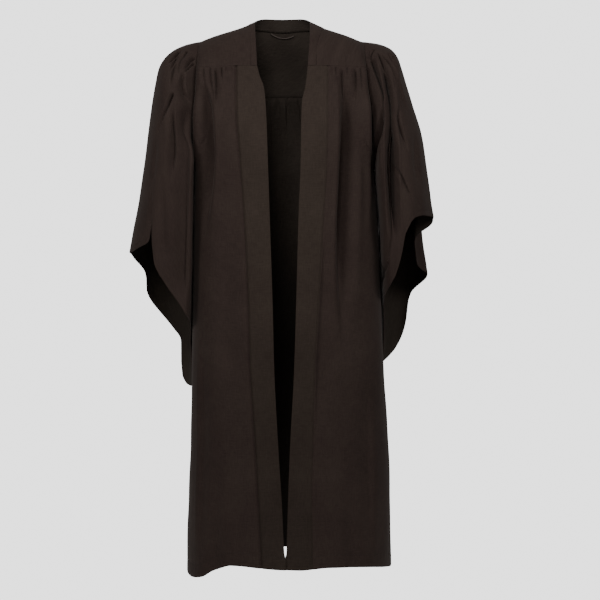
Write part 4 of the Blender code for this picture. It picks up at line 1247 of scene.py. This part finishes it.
def sleeve_normals(points, side):
    """Directions out of a sleeve: its first column is the one furthest from the body."""
    normals = grid_normals(points, (0, 0, 0), closed=True)
    return -normals if np.sum(normals[:, 0, 0]) * side < 0 else normals


def make_sleeve(side):
    """An open bell sleeve."""
    rings, cuff = (LEFT_SLEEVE, LEFT_CUFF) if side == LEFT else (RIGHT_SLEEVE, RIGHT_CUFF)
    arounds = np.arange(SLEEVE_COLUMNS) / SLEEVE_COLUMNS
    arounds = arounds + FRONT_CROWDING * (np.cos(2 * math.pi * arounds) - 1) / (2 * math.pi)
    arounds = arounds % 1.0
    share = ticks(SLEEVE_LENGTH, SLEEVE_SPACING)
    share = 0.5 * share + 0.5 * share**1.6
    points = np.zeros((len(share), SLEEVE_COLUMNS, 3))
    for c, around in enumerate(arounds):
        ring = share * cuff_ring(around, side, rings, cuff)
        points[:, c] = sleeve_ring(ring, sleeve_angles(around, ring), side, rings)
    points[:, :, 0] += side * SEAM_GAP
    if side == RIGHT:
        away = (arounds - CURL_CENTRE + 0.5) % 1.0 - 0.5
        curl = np.exp(-((away / CURL_WIDTH) ** 4))[None, :]
        curl = curl * ease((share - CURL_START) / (1 - CURL_START))[:, None]
        z = points[:, :, 2]
        dent = ease((z - DENT_BOTTOM) / 0.11) * ease((DENT_TOP - z) / 0.12)
        dent *= (ease((1 - arounds) * 360 / 9) * ease((arounds * 360 - DENT_FROM) / 30))[None, :]
        points[:, :, 0] -= CURL_IN * curl + DENT_IN * dent
        points[:, :, 1] -= CURL_FORWARD * curl
    normals = sleeve_normals(points, side)
    front = LEFT_SLEEVE_CREASES if side == LEFT else RIGHT_SLEEVE_CREASES
    mirrored = []
    for width, deep, steep, grow, fade, path in BACK_SLEEVE_CREASES:
        path = [(side * x, z) for x, z in path]
        mirrored.append((width, deep, side * steep, grow, fade, path))
    depth, lean = creases_on(points, normals, front, FRONT)
    back_depth, back_lean = creases_on(points, normals, mirrored, BACK)
    calm = ease(share / 0.2)[:, None]
    start = ease(share / 0.02)[:, None]
    depth = (depth + back_depth) * start + ripple(points, 0.0020) * calm
    _, v = grid_ways(points)
    above = v[-1] - v
    depth += 0.0003 * np.exp(-((v / 0.0018) ** 2))
    depth += 0.0006 * np.exp(-((above / 0.0016) ** 2))
    depth += 0.0003 * np.exp(-(((above - CUFF_TURN) / 0.0028) ** 2))
    points = points - normals * depth[:, :, None] + (lean + back_lean) * start[:, :, None]
    points = tuck_under(points, normals, "top", UNDER_ONE, (-side, 0.0, 0.0))
    normals = sleeve_normals(points, side)
    _, v = grid_ways(points)
    thickness = CLOTH + 0.0006 * ease((CUFF_TURN - v[-1] + v) / 0.0015)
    piece = weave("cloth_sleeve_" + WORDS[side], points, normals, thickness, closed=True)
    return piece, points, normals


sleeve_left, sleeve_left_grid, sleeve_left_out = make_sleeve(LEFT)
sleeve_right, sleeve_right_grid, sleeve_right_out = make_sleeve(RIGHT)

# %% [markdown]
# ## The hanging loop
#
# A short length of narrow grey tape is caught under the neck band at the middle of the back, for a
# hook. It sags a little, and lies against the inside of the yoke, so it follows the yoke's own
# points. Its right end sits lower than its left one. It is flat and a little uneven, because an
# even round bar would look like wire.

# %% Make the hanging loop
LOOP_HALF_SPAN = 0.0255
LOOP_DROP = 0.0030
LOOP_SAG = 0.0062
LOOP_SLIP = 0.0050
LOOP_WIDTH = 0.0024
LOOP_THICKNESS = 0.0009
LOOP_LIFT = 0.0034
LOOP_STEPS = 60
LOOP_SIDES = 16
LOOP_REACH = 34


def make_loop():
    """The tape, as an oval tube swept along its sag."""
    half = len(yoke_grid) // 2
    span = yoke_grid[half - LOOP_REACH : half + LOOP_REACH + 1]
    reach = np.linalg.norm(span - span[:, :1], axis=2)
    t = np.linspace(-1, 1, LOOP_STEPS + 1)
    centres = []
    for x, part in zip(t * LOOP_HALF_SPAN, t):
        down = LOOP_DROP + LOOP_SAG * (1 - part**2) + LOOP_SLIP * (1 + part) / 2
        line = [[np.interp(down, r, s[:, k]) for k in range(3)] for r, s in zip(reach, span)]
        line = np.array(line)
        y, z = (np.interp(x, line[:, 0], line[:, k]) for k in (1, 2))
        centres.append([x, y, z])
    centres = np.array(centres)
    ahead = unit(np.gradient(centres, axis=0))
    slope = unit(span[LOOP_REACH, 12] - span[LOOP_REACH, 0])
    inward = unit(np.cross(ahead, slope))
    inward *= np.where(inward[:, 1:2] < 0, 1.0, -1.0)
    centres = centres + inward * LOOP_LIFT
    up = unit(np.cross(inward, ahead))
    round_it = np.linspace(0, 2 * math.pi, LOOP_SIDES + 1)[:-1]
    ripple_along = 1 + 0.06 * np.sin(np.arange(LOOP_STEPS + 1) * 1.9)
    offset = up[:, None] * np.cos(round_it)[None, :, None] * (LOOP_WIDTH / 2)
    offset = offset * ripple_along[:, None, None]
    offset = offset + inward[:, None] * np.sin(round_it)[None, :, None] * (LOOP_THICKNESS / 2)
    points = (centres[:, None] + offset).reshape(-1, 3)
    faces = []
    for near in range(0, LOOP_STEPS * LOOP_SIDES, LOOP_SIDES):
        far = near + LOOP_SIDES
        for c in range(LOOP_SIDES):
            d = (c + 1) % LOOP_SIDES
            faces.append([near + c, near + d, far + d, far + c])
    faces.append(list(range(LOOP_SIDES))[::-1])
    faces.append([LOOP_STEPS * LOOP_SIDES + c for c in range(LOOP_SIDES)])
    piece = add_mesh("loop_tape", points, faces)
    piece.data.shade_smooth()
    print("hanging loop:", len(faces), "faces")
    return piece


loop_tape = make_loop()

# %% [markdown]
# ## Stitches
#
# A stitch is a tiny bead of thread, half sunk in the cloth, repeated a few millimetres apart along
# a line. That is a job for Geometry Nodes: a line of points on the finished cloth goes in, the tree
# spaces them by the stitch's pitch, puts a bead on each and turns it along the line. The tree's
# inputs are the pitch, the length and the thickness of a stitch. The result is made a plain mesh.

# %% Stitch tree
STITCH_PITCH = 0.0034
STITCH_LENGTH = 0.0024
STITCH_THICKNESS = 0.0005
BEAD_SIDES = 6
BEAD_RINGS = 4
BEAD_POINTS = BEAD_SIDES * (BEAD_RINGS - 1) + 2


def stitch_tree(material):
    """A node tree that lays stitches along a curve."""
    tree = bpy.data.node_groups.new("stitches along a seam", "GeometryNodeTree")
    face = tree.interface
    face.new_socket("Seam", in_out="INPUT", socket_type="NodeSocketGeometry")
    for name in ("Pitch", "Length", "Thickness"):
        face.new_socket(name, in_out="INPUT", socket_type="NodeSocketFloat")
    face.new_socket("Stitches", in_out="OUTPUT", socket_type="NodeSocketGeometry")
    nodes, links = tree.nodes, tree.links
    start, end = nodes.new("NodeGroupInput"), nodes.new("NodeGroupOutput")
    spaced = nodes.new("GeometryNodeResampleCurve")
    spaced.mode = "LENGTH"
    bead = nodes.new("GeometryNodeMeshUVSphere")
    bead.inputs["Segments"].default_value = BEAD_SIDES
    bead.inputs["Rings"].default_value = BEAD_RINGS
    bead.inputs["Radius"].default_value = 0.5
    placed = nodes.new("GeometryNodeInstanceOnPoints")
    along = nodes.new("GeometryNodeInputTangent")
    turned = nodes.new("FunctionNodeAlignRotationToVector")
    turned.axis = "Z"
    size = nodes.new("ShaderNodeCombineXYZ")
    real = nodes.new("GeometryNodeRealizeInstances")
    finish = nodes.new("GeometryNodeSetMaterial")
    finish.inputs["Material"].default_value = material
    links.new(start.outputs["Seam"], spaced.inputs["Curve"])
    links.new(start.outputs["Pitch"], spaced.inputs["Length"])
    links.new(spaced.outputs["Curve"], placed.inputs["Points"])
    links.new(bead.outputs["Mesh"], placed.inputs["Instance"])
    links.new(along.outputs["Tangent"], turned.inputs["Vector"])
    links.new(turned.outputs["Rotation"], placed.inputs["Rotation"])
    links.new(start.outputs["Thickness"], size.inputs["X"])
    links.new(start.outputs["Thickness"], size.inputs["Y"])
    links.new(start.outputs["Length"], size.inputs["Z"])
    links.new(size.outputs["Vector"], placed.inputs["Scale"])
    links.new(placed.outputs["Instances"], real.inputs["Geometry"])
    links.new(real.outputs["Geometry"], finish.inputs["Geometry"])
    links.new(finish.outputs["Geometry"], end.inputs["Stitches"])
    return tree


def sew(name, lines, tree):
    """Stitches along one or more lines of points, as one plain mesh."""
    curve = bpy.data.curves.new(name + " line", "CURVE")
    curve.dimensions = "3D"
    for line in lines:
        spline = curve.splines.new("POLY")
        spline.points.add(len(line) - 1)
        spline.points.foreach_set("co", np.column_stack([line, np.ones(len(line))]).reshape(-1))
    guide = bpy.data.objects.new(name + " line", curve)
    bpy.context.scene.collection.objects.link(guide)
    modifier = guide.modifiers.new("stitches", "NODES")
    modifier.node_group = tree
    inputs = {s.name: s.identifier for s in tree.interface.items_tree if s.in_out == "INPUT"}
    modifier[inputs["Pitch"]] = STITCH_PITCH
    modifier[inputs["Length"]] = STITCH_LENGTH
    modifier[inputs["Thickness"]] = STITCH_THICKNESS
    graph = bpy.context.evaluated_depsgraph_get()
    mesh = bpy.data.meshes.new_from_object(guide.evaluated_get(graph), depsgraph=graph)
    piece = bpy.data.objects.new(name, mesh)
    bpy.context.scene.collection.objects.link(piece)
    bpy.data.objects.remove(guide, do_unlink=True)
    mesh.shade_smooth()
    print(f"{name}: {len(mesh.vertices) // BEAD_POINTS} stitches")
    return piece


def line_above_edge(points, normals, height, first=0, last=None, proud=0.0001):
    """The line that runs a fixed height above a grid's lower edge, just proud of the cloth."""
    _, v = grid_ways(points)
    line = []
    for c in range(first, points.shape[1] if last is None else last):
        way = v[-1, c] - v[:, c]
        spot = [np.interp(height, way[::-1], points[::-1, c, k]) for k in range(3)]
        out = [np.interp(height, way[::-1], normals[::-1, c, k]) for k in range(3)]
        line.append(np.array(spot) + proud * np.array(out))
    return np.array(line)


print("stitches:", STITCH_PITCH * 1000, "mm apart,", STITCH_LENGTH * 1000, "mm long")

# %% [markdown]
# ## Black cloth
#
# The cloth is a fine plain weave of black wool and polyester, matt with a faint bloom where light
# grazes it. Its colour is never pure black: it is a very dark warm grey that varies a little from
# yarn to yarn. The weave is laid out on the UV map, which is in metres, so two crossed sets of
# ribs 0.6 mm apart come out at their real size. A slower, stretched noise gives the slubs that
# can be seen from a step away. The wrong side of the cloth, inside the gown, is duller. Light
# gets lost on its way down inside a gown, so the cloth looks darker towards the hem, and that
# shade is painted into the colour: it fades between two heights, most on the inside of the back, a
# little on the bands and least on the rest of the front. The inside of the back, yoke and neck band
# is also painted lighter than the cloth's own colour, as painted light near the neck, and the inside
# of the sleeves is painted darker, as painted shade.

# %% Cloth material
YARNS_PER_METRE = 1650.0


def node(tree, kind, **values):
    """A new node with some of its inputs set."""
    made = tree.nodes.new(kind)
    for name, value in values.items():
        made.inputs[name.replace("_", " ")].default_value = value
    return made


def yarn_tones(tree, place, dark, light):
    """Slubs along the warp and the weft, and the colours between dark and light that they give."""
    slub_map = node(tree, "ShaderNodeMapping", Scale=(420.0, 60.0, 1.0))
    warp_map = node(tree, "ShaderNodeMapping", Scale=(60.0, 420.0, 1.0))
    slub = node(tree, "ShaderNodeTexNoise", Scale=1.0, Detail=2.0, Roughness=0.6)
    warp = node(tree, "ShaderNodeTexNoise", Scale=1.0, Detail=2.0, Roughness=0.6)
    drift = node(tree, "ShaderNodeTexNoise", Scale=9.0, Detail=3.0, Roughness=0.5)
    yarns = tree.nodes.new("ShaderNodeMath")
    yarns.operation = "ADD"
    tree.links.new(place.outputs["UV"], slub_map.inputs["Vector"])
    tree.links.new(place.outputs["UV"], warp_map.inputs["Vector"])
    tree.links.new(place.outputs["UV"], drift.inputs["Vector"])
    tree.links.new(slub_map.outputs["Vector"], slub.inputs["Vector"])
    tree.links.new(warp_map.outputs["Vector"], warp.inputs["Vector"])
    tree.links.new(slub.outputs["Fac"], yarns.inputs[0])
    tree.links.new(warp.outputs["Fac"], yarns.inputs[1])
    mixed = tree.nodes.new("ShaderNodeMath")
    mixed.operation = "ADD"
    tree.links.new(yarns.outputs["Value"], mixed.inputs[0])
    tree.links.new(drift.outputs["Fac"], mixed.inputs[1])
    shade = tree.nodes.new("ShaderNodeMapRange")
    shade.inputs["From Min"].default_value = 1.15
    shade.inputs["From Max"].default_value = 1.85
    tone = tree.nodes.new("ShaderNodeValToRGB")
    tone.color_ramp.elements[0].color = (*dark, 1.0)
    tone.color_ramp.elements[1].color = (*light, 1.0)
    tree.links.new(mixed.outputs["Value"], shade.inputs["Value"])
    tree.links.new(shade.outputs["Result"], tone.inputs["Fac"])
    return yarns, tone


def paint_shade_down(tree, tone, low, high, least):
    """The colour, full above "high" and down to the share "least" of it below "low": painted shade,
    darker towards the hem.
    """
    where = tree.nodes.new("ShaderNodeTexCoord")
    height = tree.nodes.new("ShaderNodeSeparateXYZ")
    # Painted shade: the colour's share falls with height, so the cloth is darker towards the hem.
    painted_shade = tree.nodes.new("ShaderNodeMapRange")
    painted_shade.interpolation_type = "SMOOTHSTEP"
    for socket, value in (("From Min", low), ("From Max", high), ("To Min", least), ("To Max", 1.0)):
        painted_shade.inputs[socket].default_value = value
    darker = tree.nodes.new("ShaderNodeVectorMath")
    darker.operation = "SCALE"
    tree.links.new(where.outputs["Object"], height.inputs["Vector"])
    tree.links.new(height.outputs["Z"], painted_shade.inputs["Value"])
    tree.links.new(tone.outputs["Color"], darker.inputs[0])
    tree.links.new(painted_shade.outputs["Result"], darker.inputs["Scale"])
    return darker


def weave_relief(tree, place, yarns):
    """Two crossed sets of ribs with the slubs on top, as a bump."""
    ribs = []
    for direction in ("X", "Y"):
        rib = node(tree, "ShaderNodeTexWave", Scale=YARNS_PER_METRE / 20, Distortion=0.6)
        rib.bands_direction = direction
        rib.inputs["Detail"].default_value = 1.0
        tree.links.new(place.outputs["UV"], rib.inputs["Vector"])
        ribs.append(rib)
    crossed = tree.nodes.new("ShaderNodeMath")
    crossed.operation = "MULTIPLY"
    tree.links.new(ribs[0].outputs["Fac"], crossed.inputs[0])
    tree.links.new(ribs[1].outputs["Fac"], crossed.inputs[1])
    fine = node(tree, "ShaderNodeBump", Strength=0.35, Distance=0.0002)
    coarse = node(tree, "ShaderNodeBump", Strength=0.30, Distance=0.0006)
    tree.links.new(crossed.outputs["Value"], fine.inputs["Height"])
    tree.links.new(yarns.outputs["Value"], coarse.inputs["Height"])
    tree.links.new(fine.outputs["Normal"], coarse.inputs["Normal"])
    return coarse


def cloth_material(name, dark, light, roughness, sheen, low=-1.0, high=-0.5, least=1.0):
    """Woven cloth with ribs, slubs and a soft bloom; from "high" down to "low" it gets darker, as
    painted shade.
    """
    material = bpy.data.materials.new(name)
    material.use_nodes = True
    tree = material.node_tree
    shader = tree.nodes["Principled BSDF"]
    place = tree.nodes.new("ShaderNodeUVMap")
    place.uv_map = "cloth"
    yarns, tone = yarn_tones(tree, place, dark, light)
    darker = paint_shade_down(tree, tone, low, high, least)
    relief = weave_relief(tree, place, yarns)
    rough = tree.nodes.new("ShaderNodeMapRange")
    rough.inputs["From Min"].default_value = 0.6
    rough.inputs["From Max"].default_value = 1.4
    rough.inputs["To Min"].default_value = roughness - 0.06
    rough.inputs["To Max"].default_value = roughness + 0.06
    tree.links.new(yarns.outputs["Value"], rough.inputs["Value"])
    tree.links.new(rough.outputs["Result"], shader.inputs["Roughness"])
    tree.links.new(darker.outputs["Vector"], shader.inputs["Base Color"])
    tree.links.new(relief.outputs["Normal"], shader.inputs["Normal"])
    shader.inputs["Sheen Weight"].default_value = sheen
    shader.inputs["Sheen Roughness"].default_value = 0.45
    shader.inputs["Sheen Tint"].default_value = (0.80, 0.72, 0.66, 1.0)
    shader.inputs["Specular IOR Level"].default_value = 0.08
    shader.inputs["Specular Tint"].default_value = (1.0, 0.84, 0.76, 1.0)
    return material


def thread_material(name, colour, twist):
    """Spun thread: fine slanting plies with a dull shine."""
    material = bpy.data.materials.new(name)
    material.use_nodes = True
    tree = material.node_tree
    shader = tree.nodes["Principled BSDF"]
    place = tree.nodes.new("ShaderNodeTexCoord")
    ply = node(tree, "ShaderNodeTexWave", Scale=twist, Distortion=0.4)
    ply.bands_direction = "DIAGONAL"
    tree.links.new(place.outputs["Object"], ply.inputs["Vector"])
    tone = tree.nodes.new("ShaderNodeValToRGB")
    tone.color_ramp.elements[0].color = (*[0.55 * c for c in colour], 1.0)
    tone.color_ramp.elements[1].color = (*colour, 1.0)
    tree.links.new(ply.outputs["Fac"], tone.inputs["Fac"])
    tree.links.new(tone.outputs["Color"], shader.inputs["Base Color"])
    bump = node(tree, "ShaderNodeBump", Strength=0.5, Distance=0.0003)
    tree.links.new(ply.outputs["Fac"], bump.inputs["Height"])
    tree.links.new(bump.outputs["Normal"], shader.inputs["Normal"])
    shader.inputs["Roughness"].default_value = 0.7
    shader.inputs["Specular IOR Level"].default_value = 0.12
    return material


# The outside cloth fades to 0.90 of its colour from -0.45 m down to -0.95 m: painted shade.
right_side = cloth_material(
    "black cloth", (0.0160, 0.0102, 0.0090), (0.0250, 0.0175, 0.0145), 0.75, 0.04,
    low=-0.95, high=-0.45, least=0.90,
)
wrong_side = cloth_material(
    "black cloth wrong side", (0.0150, 0.0117, 0.0094), (0.0260, 0.0205, 0.0165), 0.80, 0.02
)
# The inside of the back, yoke and neck band is painted lighter than the cloth's own colour, as
# painted light near the neck, and fades to 0.20 of it from -0.30 m down to -0.74 m, as painted
# shade.
inside_painted_light_and_shade = cloth_material(
    "black cloth inside the back", (0.0215, 0.0168, 0.0137), (0.0350, 0.0280, 0.0228), 0.80, 0.02,
    low=-0.74, high=-0.30, least=0.20,
)
# The inside of the sleeves is painted darker than the wrong side elsewhere: painted shade.
sleeve_inside_painted_shade = cloth_material(
    "black cloth inside the sleeves", (0.0128, 0.0101, 0.0080), (0.0222, 0.0176, 0.0141), 0.80, 0.02
)
# The band cloth fades to 0.74 of its colour from -0.45 m down to -0.95 m: painted shade.
band_side = cloth_material(
    "black band cloth", (0.0168, 0.0118, 0.0094), (0.0268, 0.0198, 0.0156), 0.72, 0.04,
    low=-0.95, high=-0.45, least=0.74,
)
thread = thread_material("black thread", (0.016, 0.012, 0.0105), 900.0)
tape = thread_material("grey tape", (0.085, 0.066, 0.058), 420.0)
for outside, inside, pieces in (
    (right_side, wrong_side, (front_left, front_right)),
    (band_side, wrong_side, (band_left, band_right)),
    (right_side, inside_painted_light_and_shade, (back, yoke, neck_band)),
    (right_side, sleeve_inside_painted_shade, (sleeve_left, sleeve_right)),
):
    for piece in pieces:
        piece.data.materials.append(outside)
        piece.data.materials.append(inside)
loop_tape.data.materials.append(tape)
print("materials:", sorted(m.name for m in bpy.data.materials if m.users))

# %% [markdown]
# ## Sewing the hems
#
# The hem and both cuffs are turned up, and one row of stitches holds each turning. It shows on the
# right side as a faint dotted line. Each row is kept with the cloth that it is sewn in.

# %% Sew the hems
tree = stitch_tree(thread)
hem_lines = {
    "hem_stitches_left": [
        line_above_edge(front_left_grid, front_left_out, HEM_TURN),
        line_above_edge(band_left_grid, band_left_out, HEM_TURN),
    ],
    "hem_stitches_right": [
        line_above_edge(front_right_grid, front_right_out, HEM_TURN),
        line_above_edge(band_right_grid, band_right_out, HEM_TURN),
    ],
    "hem_stitches_back": [line_above_edge(back_grid, back_out, HEM_TURN)],
    "cuff_stitches_left": [line_above_edge(sleeve_left_grid, sleeve_left_out, CUFF_TURN)],
    "cuff_stitches_right": [line_above_edge(sleeve_right_grid, sleeve_right_out, CUFF_TURN)],
}
stitches = {name: sew(name, lines, tree) for name, lines in hem_lines.items()}

# %% [markdown]
# ## Putting the pieces in place
#
# Each piece rides on the gown's root in place of the plain piece that it stands for, which is
# hidden, and its rows of stitches ride with it. The table also gives how each sheet of cloth was
# cut: its width and length laid flat, and its area, with the cloth that the gathers take up.

# %% Ride and replace
DRESSED = [
    # piece, plain piece, width and length of the cut, area of the cut, how it is held, stitches
    (front_left, "front_left", (0.27, 1.10), 0.240, "gathered", ["hem_stitches_left"]),
    (front_right, "front_right", (0.28, 1.10), 0.252, "gathered", ["hem_stitches_right"]),
    (back, "back", (0.72, 1.05), 0.615, "gathered", ["hem_stitches_back"]),
    (sleeve_left, "sleeve_left", (0.72, 0.75), 0.308, "gathered", ["cuff_stitches_left"]),
    (sleeve_right, "sleeve_right", (0.72, 0.70), 0.304, "gathered", ["cuff_stitches_right"]),
    (band_left, "front_band_left", (0.056, 1.09), 0.058, "hung", []),
    (band_right, "front_band_right", (0.054, 1.09), 0.055, "hung", []),
    (yoke, "yoke", (0.40, 0.36), 0.095, "hung", []),
    (neck_band, "neck_band", (0.022, 0.62), 0.0130, "hung", []),
]
for piece, plain, flat, area, held, sewn in DRESSED:
    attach(piece, "root")
    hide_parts(plain)
    threads = [stitches[name] for name in sewn]
    for line in threads:
        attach(line, "root")
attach(loop_tape, "root")
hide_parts("hanging_loop")
print("dressed:", [row[1] for row in DRESSED])
